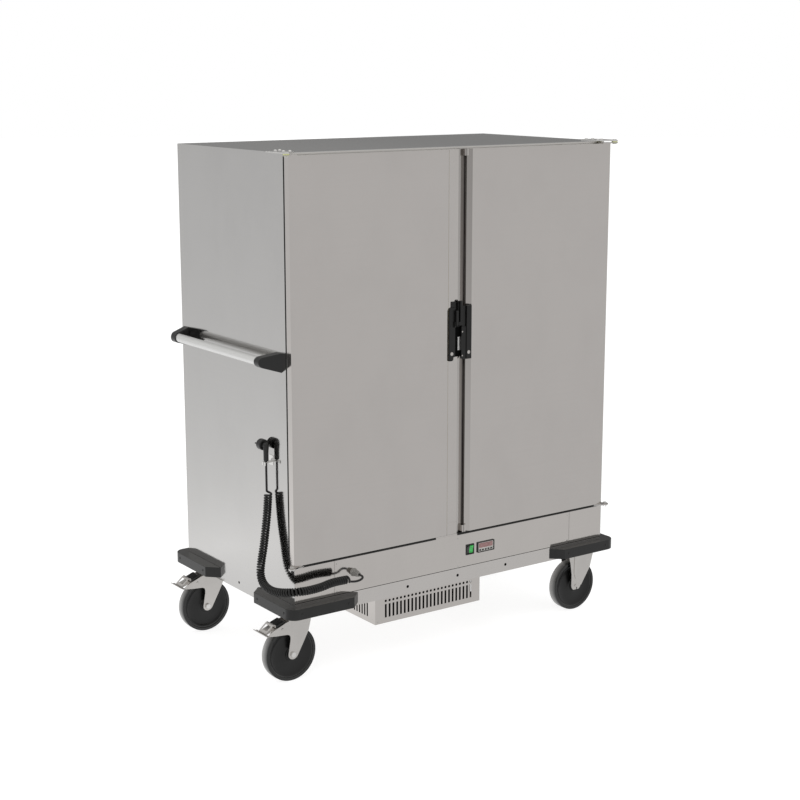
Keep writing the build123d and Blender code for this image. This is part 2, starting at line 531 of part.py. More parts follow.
add("door_left_core", core(iL, 60, 658))
add("door_left_liner", liner(0, DOOR_GAP0, 60, 658))
gy0, gy1 = DOOR_T, YB - 0.2


def gasket(xa, xb):
    """Four strips around the raised panel."""
    za, zb, w = 455.0, 1807.0, 16.0
    return [box(xa, xa + w, gy0, gy1, za, zb), box(xb - w, xb, gy0, gy1, za, zb),
            box(xa + w, xb - w, gy0, gy1, za, za + w), box(xa + w, xb - w, gy0, gy1, zb - w, zb)]


add("door_left_gasket", gasket(14, 698))

# right door
oR = [(W, 0), (X_FLAT_R, 0), (DOOR_GAP1, BEVEL_Y), (DOOR_GAP1, DOOR_T), (W, DOOR_T)]
iR = [(W - 1, 1), (X_FLAT_R + 0.3, 1), (DOOR_GAP1 + 1, BEVEL_Y + 0.8), (DOOR_GAP1 + 1, DOOR_T - 1), (W - 1, DOOR_T - 1)]
iRs = [(W - 1, 1), (X_FLAT_R + 0.3, 1), (DOOR_GAP1 + 1, BEVEL_Y + 0.8), (DOOR_GAP1 + 1, DOOR_T + 1), (W - 1, DOOR_T + 1)]
skinR = ex_xy(oR, DOOR_Z0, DOOR_Z1) - ex_xy(iRs, DOOR_Z0 + 1, DOOR_Z1 - 1)
skinR = skinR - box(-5, 1500, DOOR_T - 1, DOOR_T + 1, 400, 1900)
skinR = skinR - box(DOOR_GAP1 - 1, X_FLAT_R + 2, -1, 0.6, CAP_Z1 - 0.5, CAP_Z1 + 0.5) - box(DOOR_GAP1 - 1, X_FLAT_R + 2, -1, 0.6, CAP_Z0 - 0.5, CAP_Z0 + 0.5)
vedge = [e for e in skinR.edges().filter_by(Axis.Z) if abs(e.center().X - W) < 0.01 and abs(e.center().Y) < 0.01]
skinR = rounded(skinR, vedge, 0.9)
capsR = [box(729, DOOR_GAP1, 1.5, DOOR_T - 1, CAP_Z1 + 0.5, DOOR_Z1), box(729, DOOR_GAP1, 1.5, DOOR_T - 1, DOOR_Z0, GAP_END)]
add("door_right_skin", skinR, capsR, mx(ear_t), mx(ear_b))
add("door_right_core", core(iR, 742, W - 60))
add("door_right_liner", liner(DOOR_GAP1, W, 742, W - 60))
add("door_right_gasket", gasket(702, W - 14))

# ----------------------------- latch ---------------------------------------
# base plate of the housing, with the slot that shows the steel behind it
HX0, HX1 = 650.5, 721.5
hz0, hz1 = 1094.0, 1276.0
base_pl = box(HX0, HX1, -2, 0, hz0, 1201) - box(691, 702, -5, 2, 1116, 1165)
lplate = box(HX0, 672.5, -8, 0, hz0, 1272) + box(HX0, 668, -8, 0, 1081, hz0)
le = [e for e in lplate.edges().filter_by(Axis.Y) if abs(e.center().X - HX0) < 0.1 and e.center().Z > 1270]
lplate = rounded(lplate, le, 14.0)
le = [e for e in lplate.edges().filter_by(Axis.Y) if e.center().Z < 1082 and e.center().X > 660]
lplate = rounded(lplate, le, 8.0)
le = [e for e in lplate.edges() if e.center().Y < -7.9 and e.center().X < HX0 + 2]
lplate = rounded(lplate, le, 2.0)
cblock = box(702.5, HX1, -9, 0, 1083, 1201)
cblock = rounded(cblock, [e for e in cblock.edges().filter_by(Axis.Y) if e.center().X < 703 and e.center().Z < 1084], 8.0)
# tab that stands up behind the levers, and the plates beside it
tab_l = box(662, 682, -4, 0, 1201, 1293)
tab_l = rounded(tab_l, [e for e in tab_l.edges().filter_by(Axis.Y) if e.center().Z > 1292], 3.0)
rear = box(705, HX1, -6, 0, 1201, hz1) + box(682, 705, -1.5, 0, 1201, hz1)
housing = lplate + base_pl + cblock + tab_l + rear
LV_Y, LV_Z = -10.0, 1211.0
# cheeks that carry the levers' pin
housing = housing + box(668.5, 672.6, -14, -7, 1202, 1222) + box(700.3, 705, -15, 0, 1202, 1222) + cyl_x(LV_Y, LV_Z, 670, 703, 3.0)
add("latch_housing", housing)


def lever(x0, x1, z1, step=None):
    """Pull lever: straight sides and a flat front; the wider one is stepped back along its left part."""
    prof = [(-12, 1204.5), (-18, 1208.5), (-18, z1 - 5), (-15.5, z1), (-5.6, z1 - 1), (-5, 1211)]
    s = ex_yz(prof, x0, x1)
    if step:
        s = s - box(x0 - 1, step, -30, -10.5, 1221, 1400)
    s = s + cyl_x(LV_Y, LV_Z, x0, x1, 5.7)
    fe = [e for e in s.edges() if e.center().Y < -17.5 and 1213 < e.center().Z < z1 - 6]
    s = rounded(s, fe, 1.2)
    return s - cyl_x(LV_Y, LV_Z, x0 - 1, x1 + 1, 3.0 + RUN)


add("latch_lever_left", lever(673.2, 683.2, 1262))
add("latch_lever_right", lever(684.5, 699.6, 1296, 690.5))
strike = box(723.5, 746, -12, 0, 1083, 1276)
se = [e for e in strike.edges() if e.center().Y < -11.9]
strike = rounded(strike, se, 2.0)
add("strike_plate", strike)

# ----------------------------- casters -------------------------------------


def wheel(x, y):
    """Hub with its web, and the tyre around it, as two separate solids."""
    t = WHEEL_T / 2
    # half profile in (r, axial)
    hub = [(AXLE_R + RUN, -22), (24, -22), (24, -14), (30, -9), (66, -6), (70, -13), (82, -13), (82, 13), (70, 13), (66, 6), (30, 9), (24, 14), (24, 22), (AXLE_R + RUN, 22)]
    tyre = [(82, -15), (84, -t + 1), (90, -t), (98.4, -t), (WHEEL_R, -t + 1.6), (WHEEL_R, t - 1.6), (98.4, t), (90, t), (84, t - 1), (82, 15)]
    out = []
    for prof in (hub, tyre):
        f = make_face(Polyline(*[(r, 0, a) for r, a in prof], close=True))
        s = revolve(f, axis=Axis.Z)
        out.append(Pos(x, y, WHEEL_R) * Rot(90, 0, 0) * s)
    return out


def hexhead(x, z, y0, y1, r):
    return ex_xz([(x + r * math.cos(math.radians(60 * i + 15)), z + r * math.sin(math.radians(60 * i + 15))) for i in range(6)], y0, y1)


def swivel_fork(sx, sy):
    wx = sx - TRAIL
    leg = [(wx - 17.5, 104), (wx - 9, 152), (wx - 8.5, 164), (wx - 11, 171), (wx - 19, 175.5), (wx - 64, 179), (wx - 92, 182.5), (wx - 96.5, 185),
           (wx - 96, 189), (wx - 72, 203), (wx - 28, 220.5), (wx - 14, 224), (wx - 14, 231), (wx + 76, 231), (wx + 75, 212), (wx + 66, 177), (wx + 50, 146), (wx + 19.5, 94)]
    legs = []
    for s in (-1, 1):
        ya, yb = (sy - 28, sy - 25) if s < 0 else (sy + 25, sy + 28)
        p = ex_xz(leg, ya, yb) + cyl_y(wx + 1, 100, ya, yb, 19.5)
        p = p - cyl_y(wx, 100, ya - 1, yb + 1, AXLE_R + 0.05) - cyl_y(wx - 40, 200, ya - 1, yb + 1, 4 + RUN)
        legs.append(p)
    crown = box(wx - 14, wx + 76, sy - 28, sy + 28, 228, 231) + cyl_z(sx, sy, 231, 237.5, 30)
    crown = crown + cyl_z(sx, sy, 237.5, 249.5, 8)
    f = legs[0] + legs[1] + crown
    axle = cyl_y(wx, 100, sy - 30, sy + 30, AXLE_R) + hexhead(wx, 100, sy - 35, sy - 28.2, 10.5) + hexhead(wx, 100, sy + 28.2, sy + 35, 10.5)
    spacers = [cyl_y(wx, 100, sy - 24.8, sy - 22.3, 10) - cyl_y(wx, 100, sy - 30, sy, AXLE_R + 0.05),
               cyl_y(wx, 100, sy + 22.3, sy + 24.8, 10) - cyl_y(wx, 100, sy, sy + 30, AXLE_R + 0.05)]
    return [f, axle] + spacers


def pedal(sx, sy):
    """Double brake pedal: tongue between the fork arms, two bent loops and the rubber pad."""
    wx = sx - TRAIL
    px0 = wx - 40
    yi = 24.4
    # cross pin and the tongue
    s = cyl_y(px0, 200, sy - 31, sy + 31, 4.0)
    tongue = ex_xz([(px0 + 6, 196), (px0 + 8, 215.5), (px0 - 20, 208.8), (px0 - 62, 194), (px0 - 64, 190.5), (px0 - 20, 203), (px0 - 6, 196)], sy - yi, sy + yi)
    s = s + tongue
    # raised loop with its window, and the curl that closes it against the pad
    up = ex_xz([(px0 - 24, 206), (px0 - 27, 215), (px0 - 33, 220), (px0 - 38, 219.5), (px0 - 64, 197), (px0 - 63, 192)], sy - 24, sy + 24)
    up = up - box(px0 - 60, px0 - 35, sy - 18.5, sy + 18.5, 180, 240) - ex_xz([(px0 - 35, 205), (px0 - 35, 215), (px0 - 58, 196)], sy - 30, sy + 30)
    s = s + up + cyl_y(px0 - 31, 217, sy - 24, sy + 24, 4.5)
    # wide step lip across the tip, turned up at its edge
    step = ex_xz([(px0 - 61, 194), (px0 - 62, 187.8), (px0 - 76, 192.5), (px0 - 77, 195), (px0 - 75.5, 196), (px0 - 64, 192.3)], sy - 44, sy + 44)
    s = s + step
    pad = ex_xz([(px0 - 20, 209.3), (px0 - 23.5, 211.5), (px0 - 24, 216), (px0 + 8, 227.5), (px0 + 14, 224.5), (px0 + 9, 216.2)], sy - 24, sy + 24)
    return s, pad


fork_f = swivel_fork(*SW_F)
fork_r = swivel_fork(*SW_R)
add("caster_fork_front", fork_f)
add("caster_fork_rear", fork_r)
pf = pedal(*SW_F)
pr = pedal(*SW_R)
add("brake_pedal_front", pf)
add("brake_pedal_rear", pr)

rig = []
for ry in RIG_Y:
    leg = [(1306, 102), (1306.5, 148), (1296, 217), (1293, 245), (1424, 245), (1415, 217), (1400, 164), (1357, 98)]
    sol = []
    for s in (-1, 1):
        ya, yb = (ry - 28, ry - 25) if s < 0 else (ry + 25, ry + 28)
        p = ex_xz(leg, ya, yb) + cyl_y(RIG_X, 104, ya, yb, 24)
        p = p - box(RIG_X - 30, RIG_X + 40, ya - 1, yb + 1, 60, 84)
        p = p - box(RIG_X + 2, RIG_X + 6, ya - 1, yb + 1, 80, 93)
        p = p - cyl_y(RIG_X, 100, ya - 1, yb + 1, AXLE_R + 0.05)
        sol.append(p)
    top = box(1293, 1424, ry - 25, ry + 25, 242, 245)
    body = sol[0] + sol[1] + top
    # pressed rib down the middle of each leg and the folded lips
    for s in (-1, 1):
        yy = ry + s * 28
        rib = ex_xz([(1318, 150), (1320, 235), (1366, 235), (1360, 150), (1350, 128), (1326, 128)], min(yy, yy + s * 2), max(yy, yy + s * 2))
        body = body + rib
    # axle with a collar on each side that keeps the hub off the legs
    axle = cyl_y(RIG_X, 100, ry - 30, ry + 30, AXLE_R) + cyl_y(RIG_X, 100, ry - 24.8, ry - 22.3, 10) + cyl_y(RIG_X, 100, ry + 22.3, ry + 24.8, 10)
    rig += [body, axle]
add("rigid_forks", rig)

add("wheel_front_left", wheel(SW_F[0] - TRAIL, SW_F[1]))
add("wheel_rear_left", wheel(SW_R[0] - TRAIL, SW_R[1]))
add("wheel_front_right", wheel(RIG_X, RIG_Y[0]))
add("wheel_rear_right", wheel(RIG_X, RIG_Y[1]))

plates = []
bolt_xy = []
for (cx, cy), swv in ((SW_F, True), (SW_R, True), ((1358.0, RIG_Y[0]), False), ((1358.0, RIG_Y[1]), False)):
    hx, hy = (62, 52) if swv else (40, 52)
    p = box(cx - hx, cx + hx, cy - hy, cy + hy, 245, 250)
    if swv:
        p = p + cyl_z(cx, cy, 238, 245, 34) - cyl_z(cx, cy, 237, 243, 31) - cyl_z(cx, cy, 230, 260, 8 + RUN)
    holes = [(cx + sx_ * (hx - 12), cy + sy_ * (hy - 11)) for sx_ in (-1, 1) for sy_ in (-1, 1)]
    p = cut(p, [cyl_z(x, y, 240, 255, 4.3) for x, y in holes])
    plates.append(p)
    bolt_xy += holes
add("caster_plates", plates)

# ----------------------------- fasteners -----------------------------------
fs = []
for x, y in bolt_xy:                                   # caster bolts, heads below
    fs.append(cyl_z(x, y, 240.5, 245.0, 7.0) + cyl_z(x, y, 245.0, 250.0, 4.2))
for x, y in bolts_top:                                 # hinge bolts on the top skin
    b = cyl_z(x, y, H + 4, H + 8, 5.8)
    b = rounded(b, b.faces().sort_by(Axis.Z)[-1].edges(), 1.5)
    b = b + cyl_z(x, y, H, H + 4, 3.2)
    fs += [b, mx(b)]
for x, z in ((172, 418), (172, 315), (1232 - 4, 418), (1228, 318), (700, 415), (700, 310), (345, 168)):   # rivets on the base front
    b = cyl_y(x, z, -1.2, 0, 3.2)
    fs.append(rounded(b, b.faces().sort_by(Axis.Y)[0].edges(), 1.0))
for x in (196.0, 6.0):                                 # bumper screws, front and back
    for y0, y1 in ((-B_OFF - 1.4, -B_OFF), (D + B_OFF, D + B_OFF + 1.4)):
        b = cyl_y(x, 279, y0, y1, 5.0)
        fs += [b, mx(b)]
for y in (186.0, 6.0):
    for yy in (y, D - y):
        b = cyl_x(yy, 279, -B_OFF - 1.4, -B_OFF, 5.0)
        fs += [b, mx(b)]
b = cyl_x(134, 789, -3.5, -1.5, 4.0)                   # screw of the plug clip
fs.append(b)
for x, z, r, y in ((660.0, 1107.0, 6.5, -8.0), (732.5, 1107.6, 6.5, -12.0), (706.0, 1183, 3.0, -9.0), (706.0, 1097, 3.0, -9.0)):
    s_ = cyl_y(x, z, y - 1.6, y, r)
    s_ = rounded(s_, s_.faces().sort_by(Axis.Y)[0].edges(), 0.7)
    PARTS.setdefault("_latch_screws", []).append((x, s_))
add("fasteners", fs)
for x, s_ in PARTS.pop("_latch_screws"):
    add("door_right_skin" if x > 722 else "door_left_skin", s_)

# ----------------------------- export --------------------------------------
CORD = {"cord_lead_plug", "cord_coil", "cord_lead_gland", "plug"}
lo = [1e9] * 3
hi = [-1e9] * 3
for name, ss in PARTS.items():
    if name in CORD:
        continue
    for s in ss:
        bb = s.bounding_box()
        for i, (a, b_) in enumerate(zip((bb.min.X, bb.min.Y, bb.min.Z), (bb.max.X, bb.max.Y, bb.max.Z))):
            lo[i] = min(lo[i], a)
            hi[i] = max(hi[i], b_)
XC, YC = 675.2, 385.0
print("extent", lo, hi, "middle", (lo[0] + hi[0]) / 2, (lo[1] + hi[1]) / 2)
print("shift", XC, YC, "nodes", len(PARTS))
for name, ss in PARTS.items():
    comp_ = Compound(children=[Pos(-XC, -YC, 0) * s for s in ss]) if len(ss) > 1 else Pos(-XC, -YC, 0) * ss[0]
    export_step(comp_, "parts/%s.step" % name)
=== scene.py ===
import bpy
import bmesh
import math
from mathutils import Matrix, Quaternion, Vector


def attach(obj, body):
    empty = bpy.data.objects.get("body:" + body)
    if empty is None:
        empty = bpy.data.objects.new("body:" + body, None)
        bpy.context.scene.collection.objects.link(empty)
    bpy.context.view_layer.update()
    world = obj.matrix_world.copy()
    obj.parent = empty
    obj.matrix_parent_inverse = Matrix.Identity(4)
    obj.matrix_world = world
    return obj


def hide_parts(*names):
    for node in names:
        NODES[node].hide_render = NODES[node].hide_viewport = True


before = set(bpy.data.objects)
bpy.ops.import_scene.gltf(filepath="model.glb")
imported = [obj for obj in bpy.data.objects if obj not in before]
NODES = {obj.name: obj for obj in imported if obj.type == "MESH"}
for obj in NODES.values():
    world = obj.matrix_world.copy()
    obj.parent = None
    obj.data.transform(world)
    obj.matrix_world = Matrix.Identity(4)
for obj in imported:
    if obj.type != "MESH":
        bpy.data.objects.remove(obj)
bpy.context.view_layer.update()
scene = bpy.context.scene

# The pieces below are written in cabinet millimetres: x = 0 at the left side skin,
# y = 0 at the front plane of the doors, z = 0 on the floor.
XC, YC = 675.2, 385.0


def P(x, y, z):
    return Vector(((x - XC) / 1000.0, (y - YC) / 1000.0, z / 1000.0))


# --------------------------------------------------------------------------
# camera
# --------------------------------------------------------------------------
cam_data = bpy.data.cameras.new("camera")
cam_data.sensor_width = 36.0
cam_data.lens = 72.37
cam_data.clip_start = 0.05
cam_data.clip_end = 200.0
cam = bpy.data.objects.new("camera", cam_data)
scene.collection.objects.link(cam)
cam.location = (-3.4031, -4.8773, 2.1297)
cam.rotation_euler = (math.radians(78.044), 0.0, math.radians(-35.20))
scene.camera = cam


# --------------------------------------------------------------------------
# mesh helpers
# --------------------------------------------------------------------------
def link(name, mesh, angle=32.0, smooth=True):
    """Object from a mesh, with clean normals and sharp edges above an angle."""
    bm = bmesh.new()
    bm.from_mesh(mesh)
    bmesh.ops.remove_doubles(bm, verts=bm.verts, dist=1e-6)
    bmesh.ops.recalc_face_normals(bm, faces=bm.faces)
    bm.to_mesh(mesh)
    bm.free()
    if smooth:
        mesh.polygons.foreach_set("use_smooth", [True] * len(mesh.polygons))
        mesh.set_sharp_from_angle(angle=math.radians(angle))
    mesh.update()
    ob = bpy.data.objects.new(name, mesh)
    scene.collection.objects.link(ob)
    return ob


def from_data(name, verts, faces, angle=32.0):
    me = bpy.data.meshes.new(name)
    me.from_pydata([tuple(v) for v in verts], [], faces)
    me.validate()
    return link(name, me, angle)


def arc_corner(a, b, c, r, n=5):
    """Rounded corner at b in the plane, between the runs from a and to c."""
    a, b, c = Vector(a), Vector(b), Vector(c)
    u, v = (a - b), (c - b)
    lu, lv = u.length, v.length
    u.normalize()
    v.normalize()
    ang = u.angle(v)
    if ang > math.pi - 0.02 or r <= 0:
        return [b]
    d = min(r / math.tan(ang / 2), 0.49 * lu, 0.49 * lv)
    rr = d * math.tan(ang / 2)
    m = (u + v).normalized() * (rr / math.sin(ang / 2)) + b
    p0, p1 = b + u * d, b + v * d
    s, e = p0 - m, p1 - m
    turn = s.angle(e)
    sign = 1.0 if s.x * e.y - s.y * e.x > 0 else -1.0
    out = []
    for i in range(n + 1):
        t = sign * turn * i / n
        out.append(m + Vector((s.x * math.cos(t) - s.y * math.sin(t), s.x * math.sin(t) + s.y * math.cos(t))))
    return out


def rounded_outline(pts, radii, n=5):
    out = []
    k = len(pts)
    if not hasattr(radii, "__len__"):
        radii = [radii] * k
    for i in range(k):
        out += arc_corner(pts[i - 1], pts[i], pts[(i + 1) % k], radii[i], n)
    return [(p[0], p[1]) for p in out]


def ring(cx, cy, r, n=24, start=0.0):
    return [(cx + r * math.cos(2 * math.pi * i / n + start), cy + r * math.sin(2 * math.pi * i / n + start)) for i in range(n)]


AXES = {"xy": lambda u, v, w: (u, v, w), "xz": lambda u, v, w: (u, w, v), "yz": lambda u, v, w: (w, u, v)}


def plate(name, outer, holes, plane, w0, w1, bevel=0.0, res=2, angle=32.0):
    """Flat plate in cabinet millimetres with holes and rounded rims. plane names the two axes of its outline, w0..w1 is its thickness."""
    cu = bpy.data.curves.new(name, "CURVE")
    cu.dimensions = "2D"
    cu.fill_mode = "BOTH"
    cu.extrude = max((w1 - w0) / 2 - bevel, 0.0)
    cu.bevel_depth = bevel
    cu.bevel_resolution = res
    cu.offset = -bevel
    for pts in [outer] + list(holes):
        sp = cu.splines.new("POLY")
        sp.points.add(len(pts) - 1)
        for q, p in zip(sp.points, pts):
            q.co = (p[0], p[1], 0.0, 1.0)
        sp.use_cyclic_u = True
    tmp = bpy.data.objects.new(name + "_tmp", cu)
    me = bpy.data.meshes.new_from_object(tmp)
    bpy.data.objects.remove(tmp)
    bpy.data.curves.remove(cu)
    mid = (w0 + w1) / 2
    put = AXES[plane]
    for v in me.vertices:
        v.co = P(*put(v.co.x, v.co.y, mid + v.co.z))
    me.name = name
    return link(name, me, angle)


def lathe(name, profile, axis, centre, n=64, angle=32.0):
    """Turned piece. profile is a closed or open list of (radius, height along the axis) in millimetres, centre a cabinet point."""
    verts, faces = [], []
    cx, cy, cz = centre
    put = {"x": lambda r, a, h: (cx + h, cy + r * math.cos(a), cz + r * math.sin(a)),
           "y": lambda r, a, h: (cx + r * math.cos(a), cy + h, cz + r * math.sin(a)),
           "z": lambda r, a, h: (cx + r * math.cos(a), cy + r * math.sin(a), cz + h)}[axis]
    m = len(profile)
    for i in range(n):
        a = 2 * math.pi * i / n
        for r, h in profile:
            verts.append(P(*put(max(r, 0.0), a, h)))
    for i in range(n):
        j = (i + 1) % n
        for k in range(m - 1):
            faces.append((i * m + k, j * m + k, j * m + k + 1, i * m + k + 1))
    if profile[0][0] > 1e-6 and profile[-1][0] > 1e-6 and profile[0] != profile[-1]:
        for i in range(n):
            j = (i + 1) % n
            faces.append((i * m + m - 1, j * m + m - 1, j * m, i * m))
    me = bpy.data.meshes.new(name)
    me.from_pydata([tuple(v) for v in verts], [], faces)
    bm = bmesh.new()
    bm.from_mesh(me)
    bmesh.ops.remove_doubles(bm, verts=bm.verts, dist=1e-6)
    bmesh.ops.dissolve_degenerate(bm, dist=1e-7, edges=bm.edges)
    bm.to_mesh(me)
    bm.free()
    return link(name, me, angle)


def soft_corner(pts, r, n=4):
    """Profile with every inner corner rounded, for a turned piece."""
    out = [pts[0]]
    for i in range(1, len(pts) - 1):
        out += [tuple(p) for p in arc_corner(pts[i - 1], pts[i], pts[i + 1], r, n)]
    out.append(pts[-1])
    return out


def tube(name, pts, radius, n=12, caps=True):
    """Round tube along points in metres, with rings that don't twist."""
    pts = [Vector(p) for p in pts]
    m = len(pts)
    tang = []
    for i in range(m):
        t = pts[min(i + 1, m - 1)] - pts[max(i - 1, 0)]
        tang.append(t.normalized())
    ref = tang[0].orthogonal().normalized()
    verts, faces = [], []
    for i in range(m):
        if i:
            q = tang[i - 1].rotation_difference(tang[i])
            ref = (q @ ref)
            ref = (ref - tang[i] * ref.dot(tang[i])).normalized()
        b = tang[i].cross(ref)
        r = radius(i / (m - 1)) if callable(radius) else radius
        for k in range(n):
            a = 2 * math.pi * k / n
            verts.append(pts[i] + (ref * math.cos(a) + b * math.sin(a)) * r)
    for i in range(m - 1):
        for k in range(n):
            kk = (k + 1) % n
            faces.append((i * n + k, i * n + kk, (i + 1) * n + kk, (i + 1) * n + k))
    if caps:
        faces.append(tuple(range(n - 1, -1, -1)))
        faces.append(tuple((m - 1) * n + k for k in range(n)))
    return from_data(name, verts, faces, 50.0)


def merge(name, obs):
    """Several pieces as one object, keeping each one's faces."""
    me = bpy.data.meshes.new(name)
    bm = bmesh.new()
    for o in obs:
        bm.from_mesh(o.data)
    bm.to_mesh(me)
    bm.free()
    for o in obs:
        old = o.data
        bpy.data.objects.remove(o)
        bpy.data.meshes.remove(old)
    me.update()
    ob = bpy.data.objects.new(name, me)
    scene.collection.objects.link(ob)
    return ob


def block(name, x0, x1, y0, y1, z0, z1, bevel=0.5, seg=2):
    """Box with rounded edges, in cabinet millimetres."""
    bm = bmesh.new()
    c = [(x, y, z) for x in (x0, x1) for y in (y0, y1) for z in (z0, z1)]
    vs = [bm.verts.new(P(*p)) for p in c]
    for f in ((0, 1, 3, 2), (4, 6, 7, 5), (0, 4, 5, 1), (2, 3, 7, 6), (0, 2, 6, 4), (1, 5, 7, 3)):
        bm.faces.new([vs[i] for i in f])
    bmesh.ops.recalc_face_normals(bm, faces=bm.faces)
    if bevel > 0:
        bmesh.ops.bevel(bm, geom=list(bm.edges), offset=bevel / 1000.0, segments=seg, profile=0.5, affect="EDGES", clamp_overlap=True)
    me = bpy.data.meshes.new(name)
    bm.to_mesh(me)
    bm.free()
    return link(name, me, 40.0)


def mirror_x(ob, name):
    """Copy of a piece, mirrored left to right about the middle of the cabinet."""
    me = ob.data.copy()
    me.name = name
    for v in me.vertices:
        v.co.x = 2 * (700.0 - XC) / 1000.0 - v.co.x
    me.flip_normals()
    new = bpy.data.objects.new(name, me)
    scene.collection.objects.link(new)
    for m in ob.modifiers:
        c = new.modifiers.new(m.name, m.type)
        if m.type == "BEVEL":
            c.width, c.segments, c.limit_method, c.angle_limit = m.width, m.segments, m.limit_method, m.angle_limit
    return new


def even_normals(ob):
    """Large faces keep their own normals, so that the rounded rims don't shade them."""
    n = ob.modifiers.new("even", "WEIGHTED_NORMAL")
    n.weight = 100
    n.keep_sharp = True
    return ob


def bevel_mod(ob, width, seg=2, angle=30.0, weld=False):
    """Rounded edges as modifiers, so that the mesh itself stays as it is."""
    if weld:
        w = ob.modifiers.new("weld", "WELD")
        w.merge_threshold = 1e-6
    b = ob.modifiers.new("bevel", "BEVEL")
    b.width = width / 1000.0
    b.segments = seg
    b.limit_method = "ANGLE"
    b.angle_limit = math.radians(angle)
    b.harden_normals = False
    even_normals(ob)
    return ob


# --------------------------------------------------------------------------
# cord: a curly lead between the gland on the front panel and the parked plug
# --------------------------------------------------------------------------
def nurbs(name, pts):
    """The smooth line of a route: its points are the control points of one open spline."""
    cu = bpy.data.curves.new(name, "CURVE")
    cu.dimensions = "3D"
    cu.resolution_u = 24
    sp = cu.splines.new("NURBS")
    sp.points.add(len(pts) - 1)
    for q, p in zip(sp.points, pts):
        v = P(*p)
        q.co = (v.x, v.y, v.z, 1.0)
    sp.order_u = 3
    sp.use_endpoint_u = True
    tmp = bpy.data.objects.new(name, cu)
    me = bpy.data.meshes.new_from_object(tmp)
    line = [v.co.copy() for v in me.vertices]
    bpy.data.objects.remove(tmp)
    bpy.data.curves.remove(cu)
    bpy.data.meshes.remove(me)
    return line


def arc_lengths(line):
    s = [0.0]
    for a, b in zip(line, line[1:]):
        s.append(s[-1] + (b - a).length)
    return s


def at(line, s, d):
    """Point and direction at distance d along a line whose lengths are s."""
    d = min(max(d, 0.0), s[-1])
    lo, hi = 0, len(s) - 1
    while hi - lo > 1:
        m = (lo + hi) // 2
        if s[m] <= d:
            lo = m
        else:
            hi = m
    f = (d - s[lo]) / max(s[hi] - s[lo], 1e-12)
    return line[lo].lerp(line[hi], f), (line[hi] - line[lo]).normalized()


WIRE_R = 0.004
TURN_R = 0.00385
HELIX_R = 0.01125
PITCH = 0.0091
COIL_ROUTE = [(-21.4, 129.3, 682.0), (-25.0, 129.4, 617.4), (-32.0, 131.8, 552.9), (-41.0, 131.6, 489.2),
              (-50.0, 135.9, 433.1), (-57.0, 133.7, 386.9), (-61.0, 106.1, 357.9), (-62.0, 51.5, 349.0),
              (-57.0, -12.5, 359.4), (-34.0, -62.0, 370.7), (17.6, -64.0, 367.6), (72.9, -61.0, 368.9),
              (106.9, -58.0, 374.7), (150.0, -54.5, 374.5), (193.0, -52.0, 372.0)]
PLUG_ROUTE = [(-21.4, 140.0, 786.0), (-21.4, 140.1, 735.0), (-21.4, 139.6, 682.0)]
GLAND_ROUTE = [(193.3, -54.0, 363.4), (206.0, -57.5, 361.6), (219.0, -62.5, 363.0), (230.0, -66.5, 367.5),
               (238.5, -64.0, 371.8), (242.3, -54.5, 373.7), (242.8, -44.5, 374.0), (242.8, -35.0, 374.3)]

lead_plug = nurbs("lead_plug_line", PLUG_ROUTE)
axis_line = nurbs("coil_line", COIL_ROUTE)
lead_gland = nurbs("lead_gland_line", GLAND_ROUTE)

axis_s = arc_lengths(axis_line)
total = axis_s[-1]
steps = 2600
ramp = 0.020
grid = [total * i / steps for i in range(steps + 1)]


def rate(d):
    """Share of the full winding speed: it eases in and out where the lead joins the coil."""
    e = min(d, total - d) / ramp
    e = min(max(e, 0.0), 1.0)
    return e * e * (3 - 2 * e)


def pitch_at(d):
    """The turns sit nearly shut, and open a little on the bend under the corner."""
    u = d / total
    open_up = 0.10 * math.exp(-((u - 0.62) / 0.09) ** 2) + 0.03 * math.sin(u * 61.0) * math.sin(u * 17.0)
    return PITCH * (1 + open_up)


# frames that don't twist, carried along the coil's axis
q_point, q_dir = at(axis_line, axis_s, 0.0)
start_arm = (lead_plug[-1] - q_point)
start_arm = (start_arm - q_dir * start_arm.dot(q_dir)).normalized()
arms, points, dirs = [], [], []
ref, last = start_arm, q_dir
for d in grid:
    p, t = at(axis_line, axis_s, d)
    q = last.rotation_difference(t)
    ref = q @ ref
    ref = (ref - t * ref.dot(t)).normalized()
    arms.append(ref.copy())
    points.append(p)
    dirs.append(t)
    last = t
turned = [0.0]
for i in range(1, len(grid)):
    dd = grid[i] - grid[i - 1]
    turned.append(turned[-1] + 2 * math.pi * rate((grid[i] + grid[i - 1]) / 2) / pitch_at(grid[i]) * dd)
end_arm = lead_gland[0] - points[-1]
end_arm = (end_arm - dirs[-1] * end_arm.dot(dirs[-1])).normalized()
side = dirs[-1].cross(arms[-1])
want = math.atan2(end_arm.dot(side), end_arm.dot(arms[-1]))
whole = round((turned[-1] - want) / (2 * math.pi))
fit = (want + 2 * math.pi * whole) / turned[-1]
r_start = (lead_plug[-1] - points[0]).length
r_end = (lead_gland[0] - points[-1]).length
coil = []
for i, d in enumerate(grid):
    a = turned[i] * fit
    ease0 = min(d / ramp, 1.0)
    ease1 = min((total - d) / ramp, 1.0)
    r = HELIX_R + (r_start - HELIX_R) * (1 - ease0) ** 2 + (r_end - HELIX_R) * (1 - ease1) ** 2
    side = dirs[i].cross(arms[i])
    coil.append(points[i] + (arms[i] * math.cos(a) + side * math.sin(a)) * r)
raw = lead_plug[:-1] + coil + lead_gland[1:]
cord_path = [raw[0]]
for p in raw[1:]:
    if (p - cord_path[-1]).length > 0.0009:
        cord_path.append(p)
cord_len = sum((b - a).length for a, b in zip(cord_path, cord_path[1:]))
plug_end = sum((b - a).length for a, b in zip(lead_plug, lead_plug[1:])) / cord_len
gland_end = 1.0 - sum((b - a).length for a, b in zip(lead_gland, lead_gland[1:])) / cord_len


